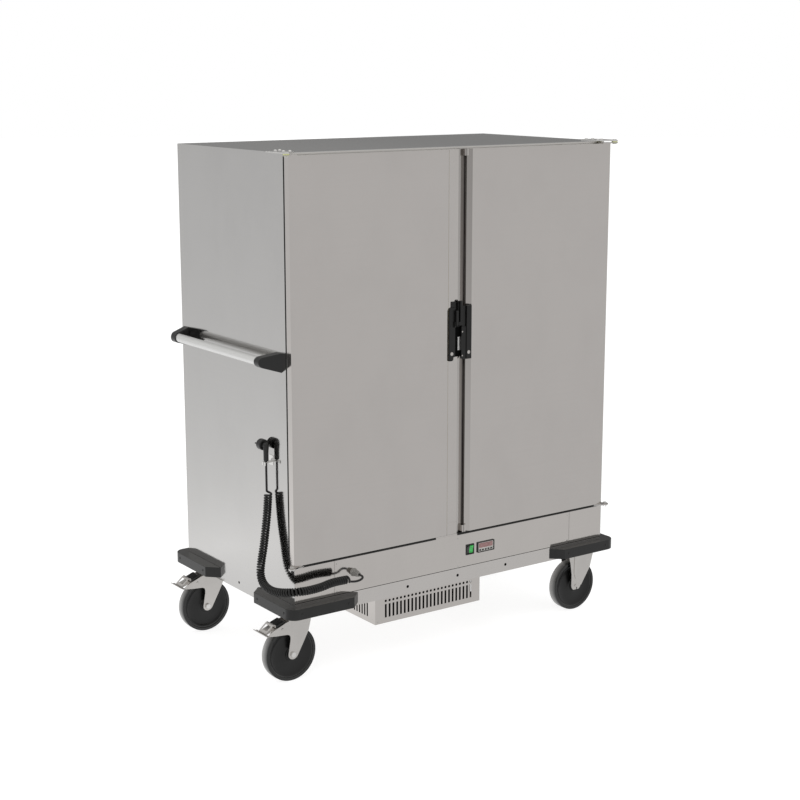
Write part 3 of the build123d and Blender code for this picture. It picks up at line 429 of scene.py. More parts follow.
def wire_radius(u):
    """Full size on the two plain ends, a little stretched thinner where it is wound."""
    e = min((u - plug_end), (gland_end - u)) / 0.01
    e = min(max(e, 0.0), 1.0)
    return WIRE_R + (TURN_R - WIRE_R) * e


mains_cord = tube("mains_cord", cord_path, wire_radius, n=12)


# --------------------------------------------------------------------------
# materials
# --------------------------------------------------------------------------
class Mat:
    """A small builder for procedural materials."""

    def __init__(self, name):
        self.m = bpy.data.materials.new(name)
        self.m.use_nodes = True
        self.nt = self.m.node_tree
        self.nt.nodes.clear()
        self.out = self.nt.nodes.new("ShaderNodeOutputMaterial")
        self.b = self.nt.nodes.new("ShaderNodeBsdfPrincipled")
        self.nt.links.new(self.b.outputs["BSDF"], self.out.inputs["Surface"])
        self.tc = self.nt.nodes.new("ShaderNodeTexCoord")
        self.coord = self.tc.outputs["Object"]
        self.normal = None

    def set(self, **kw):
        for k, v in kw.items():
            self.b.inputs[k.replace("_", " ")].default_value = v
        return self

    def link(self, a, b):
        self.nt.links.new(a, b)

    def mapping(self, scale, rot=(0, 0, 0)):
        n = self.nt.nodes.new("ShaderNodeMapping")
        n.inputs["Scale"].default_value = scale
        n.inputs["Rotation"].default_value = rot
        self.link(self.coord, n.inputs["Vector"])
        return n.outputs["Vector"]

    def noise(self, scale, detail=3.0, rough=0.5, vec=None, distortion=0.0):
        n = self.nt.nodes.new("ShaderNodeTexNoise")
        n.inputs["Scale"].default_value = scale
        n.inputs["Detail"].default_value = detail
        n.inputs["Roughness"].default_value = rough
        n.inputs["Distortion"].default_value = distortion
        self.link(vec if vec is not None else self.coord, n.inputs["Vector"])
        return n.outputs["Fac"]

    def voronoi(self, scale, vec=None, feature="F1"):
        n = self.nt.nodes.new("ShaderNodeTexVoronoi")
        n.feature = feature
        n.inputs["Scale"].default_value = scale
        self.link(vec if vec is not None else self.coord, n.inputs["Vector"])
        return n.outputs["Distance"]

    def wave(self, scale, direction="Z", vec=None, distortion=0.0):
        n = self.nt.nodes.new("ShaderNodeTexWave")
        n.bands_direction = direction
        n.inputs["Scale"].default_value = scale
        n.inputs["Distortion"].default_value = distortion
        self.link(vec if vec is not None else self.coord, n.inputs["Vector"])
        return n.outputs["Fac"]

    def ramp(self, fac, a, b):
        """Maps 0..1 onto a..b."""
        n = self.nt.nodes.new("ShaderNodeMapRange")
        n.inputs["To Min"].default_value = a
        n.inputs["To Max"].default_value = b
        self.link(fac, n.inputs["Value"])
        return n.outputs["Result"]

    def window(self, fac, lo, hi, a=0.0, b=1.0):
        n = self.nt.nodes.new("ShaderNodeMapRange")
        n.interpolation_type = "SMOOTHSTEP"
        n.inputs["From Min"].default_value = lo
        n.inputs["From Max"].default_value = hi
        n.inputs["To Min"].default_value = a
        n.inputs["To Max"].default_value = b
        self.link(fac, n.inputs["Value"])
        return n.outputs["Result"]

    def math(self, op, a, b):
        n = self.nt.nodes.new("ShaderNodeMath")
        n.operation = op
        for i, v in enumerate((a, b)):
            if hasattr(v, "is_linked") or hasattr(v, "links"):
                self.link(v, n.inputs[i])
            else:
                n.inputs[i].default_value = v
        return n.outputs["Value"]

    def mix(self, fac, c1, c2):
        n = self.nt.nodes.new("ShaderNodeMix")
        n.data_type = "RGBA"
        self.link(fac, n.inputs["Factor"])
        for sock, c in ((n.inputs[6], c1), (n.inputs[7], c2)):
            if hasattr(c, "links"):
                self.link(c, sock)
            else:
                sock.default_value = (*c, 1.0)
        return n.outputs[2]

    def bump(self, height, strength, distance):
        n = self.nt.nodes.new("ShaderNodeBump")
        n.inputs["Strength"].default_value = strength
        n.inputs["Distance"].default_value = distance
        self.link(height, n.inputs["Height"])
        if self.normal is not None:
            self.link(self.normal, n.inputs["Normal"])
        self.normal = n.outputs["Normal"]
        return self

    def color(self, sock):
        self.link(sock, self.b.inputs["Base Color"])
        return self

    def rough(self, sock):
        self.link(sock, self.b.inputs["Roughness"])
        return self

    def done(self):
        if self.normal is not None:
            self.link(self.normal, self.b.inputs["Normal"])
        return self.m


def lin(h):
    """sRGB hex to linear."""
    c = [int(h[i:i + 2], 16) / 255.0 for i in (0, 2, 4)]
    return tuple(x / 12.92 if x <= 0.04045 else ((x + 0.055) / 1.055) ** 2.4 for x in c)


def steel(name, base, r0, r1, grain=(2.0, 700.0, 700.0), grain_amt=0.12, wave_amt=0.35, smudge=0.5, metal=1.0, fold=None, across=None, holes=(), row=None):
    """Rolled stainless sheet: fine grain along x, slow waviness, faint handling marks."""
    m = Mat(name)
    m.set(Metallic=metal)
    fine = m.noise(1.0, 2.0, 0.6, m.mapping(grain))
    slow = m.noise(1.6, 2.0, 0.45, m.mapping((1.0, 1.0, 0.45)), 0.6)
    cloud = m.noise(5.5, 5.0, 0.6, m.mapping((1.0, 1.0, 0.7)))
    spots = m.noise(46.0, 4.0, 0.55)
    r = m.math("ADD", m.ramp(fine, r0, r1), m.math("MULTIPLY", m.window(cloud, 0.5, 0.78), 0.035 * smudge))
    r = m.math("ADD", r, m.math("MULTIPLY", m.window(spots, 0.6, 0.75), 0.02 * smudge))
    m.rough(r)
    tone = m.mix(m.ramp(fine, 0.0, 1.0), tuple(c * 0.97 for c in base), tuple(min(1.0, c * 1.02) for c in base))
    tone2 = m.mix(m.window(cloud, 0.35, 0.8), tone, tuple(c * 0.965 for c in base))
    if fold:
        # painted shade and reflection: the narrow slanted fold along a door's free edge is painted darker than the
        # flat sheet, more so towards the top
        sep = m.nt.nodes.new("ShaderNodeSeparateXYZ")
        m.link(m.coord, sep.inputs["Vector"])
        x0, x1, fold_shade_range = fold
        inside = m.math("MULTIPLY", m.window(sep.outputs["X"], x0 - 0.0003, x0 + 0.0003), m.window(sep.outputs["X"], x1 - 0.0003, x1 + 0.0003, 1.0, 0.0))
        high = m.window(sep.outputs["Z"], 0.45, 1.75, fold_shade_range[0], fold_shade_range[1])
        tone2 = m.mix(m.math("MULTIPLY", inside, high), tone2, (0.10, 0.088, 0.080))
    if across:
        # painted reflection: the sheet is painted lighter towards its left end
        sep = m.nt.nodes.new("ShaderNodeSeparateXYZ")
        m.link(m.coord, sep.inputs["Vector"])
        tone2 = m.mix(m.window(sep.outputs["X"], -0.72, 0.45, across, 0.0), tone2, (0.86, 0.85, 0.84))
    if holes:
        # punched holes: painted shade, near black on the hole walls and in a thin ring round each hole
        sep = m.nt.nodes.new("ShaderNodeSeparateXYZ")
        m.link(m.coord, sep.inputs["Vector"])
        for hx, hz in holes:
            dx = m.math("SUBTRACT", sep.outputs["X"], hx)
            dz = m.math("SUBTRACT", sep.outputs["Z"], hz)
            d = m.math("SQRT", m.math("ADD", m.math("MULTIPLY", dx, dx), m.math("MULTIPLY", dz, dz)), 0.0)
            tone2 = m.mix(m.window(d, 0.0051, 0.0057, 1.0, 0.0), tone2, (0.004, 0.004, 0.004))
    if row:
        # a row of punched dots along x, with painted shade: near-black rims round them on the front face
        x0, x1, pitch, hz = row
        sep = m.nt.nodes.new("ShaderNodeSeparateXYZ")
        m.link(m.coord, sep.inputs["Vector"])
        u = m.math("FRACT", m.math("DIVIDE", m.math("SUBTRACT", sep.outputs["X"], x0 - pitch / 2), pitch), 0.0)
        dx = m.math("MULTIPLY", m.math("SUBTRACT", u, 0.5), pitch)
        dz = m.math("SUBTRACT", sep.outputs["Z"], hz)
        d = m.math("SQRT", m.math("ADD", m.math("MULTIPLY", dx, dx), m.math("MULTIPLY", dz, dz)), 0.0)
        rim = m.math("MULTIPLY", m.window(d, 0.0043, 0.0050, 1.0, 0.0), m.window(sep.outputs["Y"], -0.3834, -0.3830, 1.0, 0.0))
        rim = m.math("MULTIPLY", rim, m.math("MULTIPLY", m.window(sep.outputs["X"], x0 - pitch / 2, x0 - pitch / 2 + 0.0005), m.window(sep.outputs["X"], x1 + pitch / 2 - 0.0005, x1 + pitch / 2, 1.0, 0.0)))
        tone2 = m.mix(rim, tone2, (0.004, 0.004, 0.004))
    m.color(tone2)
    m.bump(slow, wave_amt, 0.004)
    m.bump(fine, grain_amt, 0.00004)
    return m.done()


def plastic(name, dark, light, r0, r1, cell=900.0, bump=0.25, dist=0.00012, spec=0.5, coat=0.0):
    """Moulded plastic with an etched grain and slightly rubbed patches."""
    m = Mat(name)
    m.set(**{"Specular IOR Level": spec, "Coat Weight": coat, "Coat Roughness": 0.25})
    g = m.noise(cell, 3.0, 0.6)
    patch = m.noise(18.0, 4.0, 0.6)
    slow = m.noise(7.0, 2.0, 0.5)
    m.color(m.mix(m.window(patch, 0.35, 0.75), dark, light))
    m.rough(m.math("ADD", m.ramp(patch, r0, r1), m.math("MULTIPLY", g, 0.06)))
    m.bump(slow, 0.15, 0.0015)
    m.bump(g, bump, dist)
    return m.done()


STEEL = (0.592, 0.564, 0.542)
M = {}
M["steel"] = steel("steel_satin", STEEL, 0.075, 0.115, (2.0, 700.0, 700.0), 0.07, 0.14, 0.45)
M["steel_side"] = steel("steel_side", (0.576, 0.568, 0.558), 0.075, 0.115, (700.0, 2.0, 700.0), 0.07, 0.12, 0.45)
# the doors carry a painted shade band on the slanted fold along each free edge
M["steel_door_left"] = steel("steel_door_left", STEEL, 0.075, 0.115, (2.0, 700.0, 700.0), 0.07, 0.14, 0.45, 1.0, ((691.0 - XC) / 1000.0, 0.1, (0.10, 0.34)))
M["steel_door_right"] = steel("steel_door_right", STEEL, 0.075, 0.115, (2.0, 700.0, 700.0), 0.07, 0.14, 0.45, 1.0, ((735.0 - XC) / 1000.0, (753.0 - XC) / 1000.0, (0.10, 0.44)))
# top sheet: painted reflection, lighter towards its left end
M["steel_top"] = steel("steel_top", (0.478, 0.473, 0.466), 0.16, 0.22, (2.0, 700.0, 700.0), 0.08, 0.12, 0.5, across=0.50)
M["steel_inner"] = steel("steel_inner", (0.60, 0.59, 0.575), 0.24, 0.34, (700.0, 700.0, 3.0), 0.12, 0.12)
# frame steel painted paler than the other sheet: painted light that lifts the shade where the frame shows in the gaps
# round the doors
M["frame_steel"] = steel("frame_steel", (0.70, 0.68, 0.655), 0.22, 0.30, (3.0, 500.0, 500.0), 0.1, 0.1)
M["steel_base"] = steel("steel_base", (0.622, 0.592, 0.567), 0.075, 0.115, (2.0, 700.0, 700.0), 0.07, 0.14, 0.45)
M["steel_grille"] = steel("steel_grille", (0.622, 0.592, 0.567), 0.075, 0.115, (2.0, 700.0, 700.0), 0.07, 0.14, 0.45, row=((379.0 - XC) / 1000.0, (379.0 + 23 * 16.6 - XC) / 1000.0, 0.0166, 0.241))
M["chassis"] = steel("chassis_steel", (0.640, 0.615, 0.594), 0.13, 0.19, (2.0, 600.0, 600.0), 0.1, 0.1, holes=[((x - XC) / 1000.0, 0.276) for x in (475.0, 700.0, 925.0)])


def zinc(name, base=(0.63, 0.608, 0.585), r0=0.17, r1=0.27):
    """Bright zinc on pressed steel: a fine crystalline mottle under a thin passivated film."""
    m = Mat(name)
    m.set(Metallic=1.0)
    cells = m.voronoi(420.0)
    n = m.noise(240.0, 4.0, 0.6)
    cloud = m.noise(16.0, 3.0, 0.55)
    m.color(m.mix(m.window(cloud, 0.3, 0.75), tuple(c * 0.95 for c in base), base))
    m.rough(m.math("ADD", m.ramp(n, r0, r1), m.math("MULTIPLY", cloud, 0.05)))
    m.bump(cells, 0.04, 0.0001)
    m.bump(n, 0.05, 0.0001)
    return m.done()


M["zinc"] = zinc("zinc_steel")
M["bolt"] = zinc("bolt_steel", (0.80, 0.79, 0.775), 0.18, 0.28)
M["hinge"] = zinc("hinge_steel", (0.78, 0.77, 0.755), 0.2, 0.3)
M["rivet"] = zinc("rivet_steel", (0.58, 0.57, 0.55), 0.26, 0.4)
# coil fins near black: painted shade, so that the grille's slots in front of them read dark
M["coil_fins"] = steel("coil_fins", (0.05, 0.05, 0.052), 0.42, 0.55, (400.0, 400.0, 3.0), 0.2, 0.0, 0.5, 0.6)
M["bar"] = steel("bar_aluminium", (0.80, 0.80, 0.79), 0.18, 0.26, (600.0, 4.0, 600.0), 0.2, 0.0, 0.5, 0.6)


def bumper_plastic():
    """Moulded black plastic; the tops at the push bar's end are painted paler, a painted reflection."""
    m = Mat("bumper_plastic")
    m.set(**{"Specular IOR Level": 0.5})
    g = m.noise(1400.0, 3.0, 0.6)
    patch = m.noise(18.0, 4.0, 0.6)
    slow = m.noise(7.0, 2.0, 0.5)
    body = m.mix(m.window(patch, 0.35, 0.75), (0.0056, 0.0055, 0.0054), (0.0088, 0.0086, 0.0084))
    sep = m.nt.nodes.new("ShaderNodeSeparateXYZ")
    m.link(m.coord, sep.inputs["Vector"])
    # painted reflection: a paler tone on the tops at the left end
    film = m.math("MULTIPLY", m.window(sep.outputs["Z"], 0.2966, 0.2976), m.window(sep.outputs["X"], -0.5, -0.1, 0.62, 0.0))
    film = m.math("MULTIPLY", film, m.window(patch, 0.2, 0.7, 0.8, 1.0))
    m.color(m.mix(film, body, (0.052, 0.051, 0.049)))
    m.rough(m.math("ADD", m.ramp(patch, 0.24, 0.31), m.math("MULTIPLY", g, 0.06)))
    m.bump(slow, 0.15, 0.0015)
    m.bump(g, 0.12, 0.0001)
    return m.done()


M["bumper"] = bumper_plastic()
M["black"] = plastic("black_plastic", (0.0055, 0.0054, 0.0053), (0.0085, 0.0083, 0.0082), 0.26, 0.34, 1500.0, 0.14, 0.0001, 0.5)
M["grey"] = plastic("grey_plastic", lin("8d8b87"), lin("a19f9a"), 0.42, 0.55, 900.0, 0.2)
M["bezel"] = plastic("bezel_plastic", lin("181716"), lin("22201f"), 0.3, 0.38, 1500.0, 0.12)
M["hub"] = plastic("wheel_hub_nylon", (0.0050, 0.0050, 0.0050), (0.0082, 0.0082, 0.0082), 0.24, 0.32, 900.0, 0.14, 0.00012, 0.40)
M["fan"] = plastic("fan_plastic", lin("1c1c1c"), lin("2a2a2a"), 0.4, 0.5, 900.0, 0.15)
M["button"] = plastic("button_plastic", lin("22211f"), lin("302f2c"), 0.45, 0.55, 1200.0, 0.15)
M["face"] = plastic("controller_face", lin("b4b2ae"), lin("c1bfbb"), 0.38, 0.46, 1500.0, 0.1)
M["rim"] = plastic("window_rim_plastic", lin("d2cfcb"), lin("dedbd7"), 0.3, 0.38, 1500.0, 0.1)


def bushing():
    """Pale yellow-green nylon at the top hinge, where the light falls, and plain grey-white wear rings below."""
    m = Mat("nylon_bushing")
    g = m.noise(600.0, 3.0, 0.6)
    patch = m.noise(60.0, 3.0, 0.5)
    sep = m.nt.nodes.new("ShaderNodeSeparateXYZ")
    m.link(m.coord, sep.inputs["Vector"])
    high = m.window(sep.outputs["Z"], 1.0, 1.2)
    up = m.mix(patch, lin("c9cc8e"), lin("d8dba6"))
    down = m.mix(patch, lin("a5a39f"), lin("bab8b3"))
    n = m.nt.nodes.new("ShaderNodeMix")
    n.data_type = "RGBA"
    m.link(high, n.inputs["Factor"])
    m.link(down, n.inputs[6])
    m.link(up, n.inputs[7])
    m.color(n.outputs[2])
    m.rough(m.ramp(patch, 0.34, 0.46))
    m.bump(g, 0.1, 0.0001)
    return m.done()


M["nylon"] = bushing()


def rubber(name, dark, light, r0=0.5, r1=0.68, scale=700.0):
    m = Mat(name)
    m.set(**{"Specular IOR Level": 0.45})
    g = m.noise(scale, 4.0, 0.6)
    dust = m.noise(26.0, 5.0, 0.62)
    m.color(m.mix(m.window(dust, 0.42, 0.8), dark, light))
    m.rough(m.ramp(g, r0, r1))
    m.bump(g, 0.22, 0.00015)
    return m.done()


M["gasket"] = rubber("gasket_rubber", (0.008, 0.0078, 0.0075), (0.013, 0.0125, 0.012))
# seal rubber: its brown-grey is painted shade, the tone of shaded steel in the door gap
M["seal"] = rubber("edge_seal_painted_shade", (0.10, 0.088, 0.080), (0.125, 0.11, 0.10), 0.5, 0.6)
M["cord"] = rubber("cable_rubber", (0.0060, 0.0058, 0.0056), (0.0092, 0.0090, 0.0088), 0.14, 0.21, 900.0)


def tyre_rubber():
    """Smooth black tyre whose tread is painted paler across its width, a painted highlight."""
    m = Mat("tyre_rubber")
    m.set(**{"Specular IOR Level": 0.6})
    g = m.noise(700.0, 3.0, 0.6)
    patch = m.noise(18.0, 4.0, 0.6)
    side = m.mix(m.window(patch, 0.35, 0.75), (0.0062, 0.0062, 0.0062), (0.0105, 0.0103, 0.0101))
    sep = m.nt.nodes.new("ShaderNodeSeparateXYZ")
    m.link(m.coord, sep.inputs["Vector"])
    # painted highlight: each tread band grows paler across its width
    shade = None
    for y0 in (84.0, 707.5):
        a, b = (y0 - 17.0 - YC) / 1000.0, (y0 + 17.0 - YC) / 1000.0
        n = m.nt.nodes.new("ShaderNodeMapRange")
        n.inputs["From Min"].default_value = a
        n.inputs["From Max"].default_value = b
        m.link(sep.outputs["Y"], n.inputs["Value"])
        band = m.math("MULTIPLY", n.outputs["Result"], m.window(sep.outputs["Y"], b - 0.0006, b + 0.0002, 1.0, 0.0))
        shade = band if shade is None else m.math("ADD", shade, band)
    shade = m.math("MULTIPLY", shade, m.window(patch, 0.2, 0.8, 0.85, 1.0))
    m.color(m.mix(shade, side, (0.52, 0.515, 0.505)))
    m.rough(m.math("ADD", m.ramp(patch, 0.2, 0.27), m.math("MULTIPLY", g, 0.05)))
    m.bump(g, 0.06, 0.0001)
    return m.done()


M["tyre"] = tyre_rubber()
M["foam"] = rubber("foam", lin("cdbf8e"), lin("d9cda3"), 0.8, 0.95, 260.0)
M["compressor"] = plastic("compressor_black", lin("141414"), lin("1f1f1f"), 0.28, 0.42, 260.0, 0.25, 0.0003)


def green_rocker():
    """Black rocker whose right part is a green lens, lit softly from inside."""
    m = Mat("green_plastic")
    m.set(**{"Specular IOR Level": 0.6, "Coat Weight": 0.5, "Coat Roughness": 0.12})
    n = m.noise(160.0, 3.0, 0.55)
    sep = m.nt.nodes.new("ShaderNodeSeparateXYZ")
    m.link(m.coord, sep.inputs["Vector"])
    x0 = (752.5 - XC) / 1000.0
    lens = m.window(sep.outputs["X"], x0 - 0.0004, x0 + 0.0004)
    green = m.mix(m.window(n, 0.3, 0.72), lin("1f8f3a"), lin("3cc55c"))
    glow = m.mix(m.window(n, 0.3, 0.72), lin("0d7a28"), lin("35c957"))
    for col, sock in ((green, "Base Color"), (glow, "Emission Color")):
        k = m.nt.nodes.new("ShaderNodeMix")
        k.data_type = "RGBA"
        m.link(lens, k.inputs["Factor"])
        k.inputs[6].default_value = (0.010, 0.010, 0.010, 1) if sock == "Base Color" else (0, 0, 0, 1)
        m.link(col, k.inputs[7])
        m.link(k.outputs[2], m.b.inputs[sock])
    m.rough(m.ramp(n, 0.22, 0.32))
    m.set(**{"Emission Strength": 0.16})
    m.bump(n, 0.1, 0.0002)
    return m.done()


def red_window():
    """Dark red display window with a fine prism pattern behind it."""
    m = Mat("window_plastic")
    m.set(**{"Specular IOR Level": 0.6, "Coat Weight": 0.8, "Coat Roughness": 0.06})
    w = m.wave(140.0, "X")
    n = m.noise(90.0, 3.0, 0.6)
    m.color(m.mix(m.window(n, 0.3, 0.75), lin("8a5f5e"), lin("a27977")))
    m.rough(m.ramp(n, 0.12, 0.2))
    m.bump(w, 0.05, 0.0001)
    return m.done()


M["latch"] = plastic("latch_plastic", (0.0045, 0.0044, 0.0043), (0.0070, 0.0068, 0.0067), 0.28, 0.36, 1500.0, 0.14, 0.0001, 0.40)
M["keeper"] = zinc("keeper_steel", (0.86, 0.85, 0.84), 0.3, 0.4)
# near black with almost no sheen: painted shade for recesses, gaps and the space behind slots and holes
M["void"] = plastic("painted_shade_black", (0.0012, 0.0012, 0.0012), (0.002, 0.002, 0.002), 0.55, 0.65, 1500.0, 0.1, 0.0001, 0.05)
M["green"] = green_rocker()
M["window"] = red_window()

CAD_LOOK = {
    "left_side_panel": "steel_side", "right_side_panel": "steel_side", "back_panel": "steel", "top_panel": "steel_top",
    "door_frame": "frame_steel", "cavity_liner": "steel_inner", "wall_insulation": "foam",
    "rack_uprights": "steel_inner", "tray_runners": "steel_inner", "evaporator_cover": "steel_inner",
    "evaporator_fan": "fan", "condenser_fan": "fan", "cooling_unit": "coil_fins", "compressor": "compressor",
    "base_front_panels": "steel_base", "chassis_frame": "chassis", "grille_housing": "steel_grille",
    "controller_case": "bezel", "controller_window": "window", "switch_frame": "black", "rocker": "green",
    "cable_gland": "grey", "plug": "black", "plug_clip": "bolt", "handle_brackets": "black", "push_bar": "bar",
    "corner_bumpers": "bumper", "hinge_brackets": "hinge", "hinge_bushings": "nylon",
    "door_left_skin": "steel_door_left", "door_right_skin": "steel_door_right", "door_left_core": "foam", "door_right_core": "foam",
    "door_left_liner": "steel_inner", "door_right_liner": "steel_inner",
    "door_left_gasket": "gasket", "door_right_gasket": "gasket",
    "latch_housing": "latch", "latch_lever_left": "latch", "latch_lever_right": "latch", "strike_plate": "latch",
    "caster_fork_front": "zinc", "caster_fork_rear": "zinc", "brake_pedal_front": "zinc", "brake_pedal_rear": "zinc",
    "rigid_forks": "zinc", "caster_plates": "zinc", "fasteners": "bolt",
    "wheel_front_left": "hub", "wheel_rear_left": "hub", "wheel_front_right": "hub", "wheel_rear_right": "hub",
    "cord_coil": "cord", "cord_lead_plug": "cord", "cord_lead_gland": "cord",
    "button_1": "button", "button_2": "button", "button_3": "button", "button_4": "button", "button_5": "button",
}
for name, ob in NODES.items():
    mat = M[CAD_LOOK[name]]
    ob.data.materials.clear()
    ob.data.materials.append(mat)


# --------------------------------------------------------------------------
# pieces
# --------------------------------------------------------------------------
H = 1833.0
W = 1400.0


def dress(ob, mat, body, *replaced, slot=None):
    ob.data.materials.clear()
    ob.data.materials.append(M[mat])
    if mat != "cord":
        even_normals(ob)
    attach(ob, body)
    if replaced:
        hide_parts(*replaced)
    return ob


def hexagon(cx, cy, r, start=15.0):
    return rounded_outline([(cx + r * math.cos(math.radians(60 * i + start)), cy + r * math.sin(math.radians(60 * i + start))) for i in range(6)], r * 0.08, 2)


def ribbon(name, pts, t, radius, plane, w0, w1, bevel=0.45):
    """Sheet of thickness t bent along pts, seen from its edge, with rounded bends."""
    pts = [Vector(p) for p in pts]
    mid = [pts[0]]
    for i in range(1, len(pts) - 1):
        mid += arc_corner(pts[i - 1], pts[i], pts[i + 1], radius, 6)
    mid.append(pts[-1])
    near, away = [], []
    for i, p in enumerate(mid):
        d = (mid[min(i + 1, len(mid) - 1)] - mid[max(i - 1, 0)]).normalized()
        nrm = Vector((-d.y, d.x)) * (t / 2)
        near.append((p.x + nrm.x, p.y + nrm.y))
        away.append((p.x - nrm.x, p.y - nrm.y))
    return plate(name, near + away[::-1], [], plane, w0, w1, bevel, 2, 40.0)


def head(name, kind, axis, sign, centre, r, h, n=28):
    """Fastener head that stands h off its centre along an axis: 'dome' rivet, 'socket' cap or 'cross' pan screw."""
    if kind == "dome":
        prof = [(r, 0), (r, 0.12 * h)] + [(r * math.cos(a), h * (0.12 + 0.88 * math.sin(a))) for a in (0.35, 0.7, 1.05, 1.35)] + [(0, h)]
    elif kind == "socket":
        s = 0.42 * r
        prof = [(r, 0), (r, 0.3 * h), (0.93 * r, 0.62 * h), (0.74 * r, 0.9 * h), (0.55 * r, h), (s + 0.25, h), (s, h - 0.3), (s, 0.35 * h), (0, 0.35 * h)]
    else:
        s = 0.30 * r
        prof = [(r, 0), (r, 0.25 * h), (0.9 * r, 0.7 * h), (0.65 * r, 0.95 * h), (s + 0.3, h), (s, h - 0.2), (0.4 * s, 0.3 * h), (0, 0.3 * h)]
    return lathe(name, [(a, sign * b) for a, b in prof], axis, centre, n, 38.0)


# moulded sleeve around the plug's stem
sleeve = lathe("plug_sleeve", [(4.3, 785.0), (7.4, 785.0), (8.5, 786.2), (8.8, 789.0), (8.8, 812.0), (9.3, 820.0), (10.7, 837.0), (9.6, 838.5), (4.3, 838.5)], "z", (-21.5, 140.0, 0.0), 40, 30.0)
dress(sleeve, "black", "cabinet", slot="black_plastic")

# the cord
dress(mains_cord, "cord", "cabinet", "cord_coil", "cord_lead_plug", "cord_lead_gland", slot="cable_rubber")

# edges of the sheet metal and the small castings
for name, width in (("rigid_forks", 0.9), ("hinge_brackets", 0.6), ("caster_plates", 0.8), ("handle_brackets", 0.8),
                    ("door_left_liner", 0.5), ("door_right_liner", 0.5), ("rack_uprights", 0.5), ("tray_runners", 0.4),
                    ("latch_housing", 0.6),
                    ("push_bar", 0.6), ("door_left_gasket", 1.2), ("door_right_gasket", 1.2), ("plug_clip", 0.3)):
    bevel_mod(NODES[name], width, 2, 32.0, weld=True)

# wheels: a hard disc with a shallow dish, and the flat-treaded tyre around it
TYRE = ([(83.0, -14.6), (87.4, -14.6), (88.4, -16.9), (89.6, -17.9), (98.3, -18.0), (99.0, -17.6)]
        + [(100.0 - 0.8 * (y / 17.2) ** 2, y) for y in (-17.2, -14.0, -10.5, -7.0, -3.5, 0.0, 3.5, 7.0, 10.5, 14.0, 17.2)]
        + [(99.0, 17.6), (98.3, 18.0), (89.6, 17.9), (88.4, 16.9), (87.4, 14.6), (83.0, 14.6)])
DISC = [(6.2, -22.0), (22.4, -22.0), (24.0, -20.4), (24.0, -15.6), (26.5, -13.0), (34.0, -10.8), (58.0, -9.6), (73.0, -11.6), (79.0, -14.4),
        (81.2, -15.8), (84.6, -15.8), (84.6, 15.8), (81.2, 15.8), (79.0, 14.4), (73.0, 11.6), (58.0, 9.6), (34.0, 10.8), (26.5, 13.0),
        (24.0, 15.6), (24.0, 20.4), (22.4, 22.0), (6.2, 22.0)]
for which, wx, wy in (("front_left", 24.0, 84.0), ("rear_left", 26.0, 706.0), ("front_right", 1330.0, 84.0), ("rear_right", 1330.0, 709.0)):
    node = "wheel_" + which
    tyre = lathe("tyre_" + which, TYRE, "y", (wx, wy, 100.0), 128, 24.0)
    dress(tyre, "tyre", node, node, slot="wheel_rubber")
    disc = lathe("disc_" + which, DISC, "y", (wx, wy, 100.0), 128, 24.0)
    dress(disc, "hub", node, node, slot="wheel_rubber")

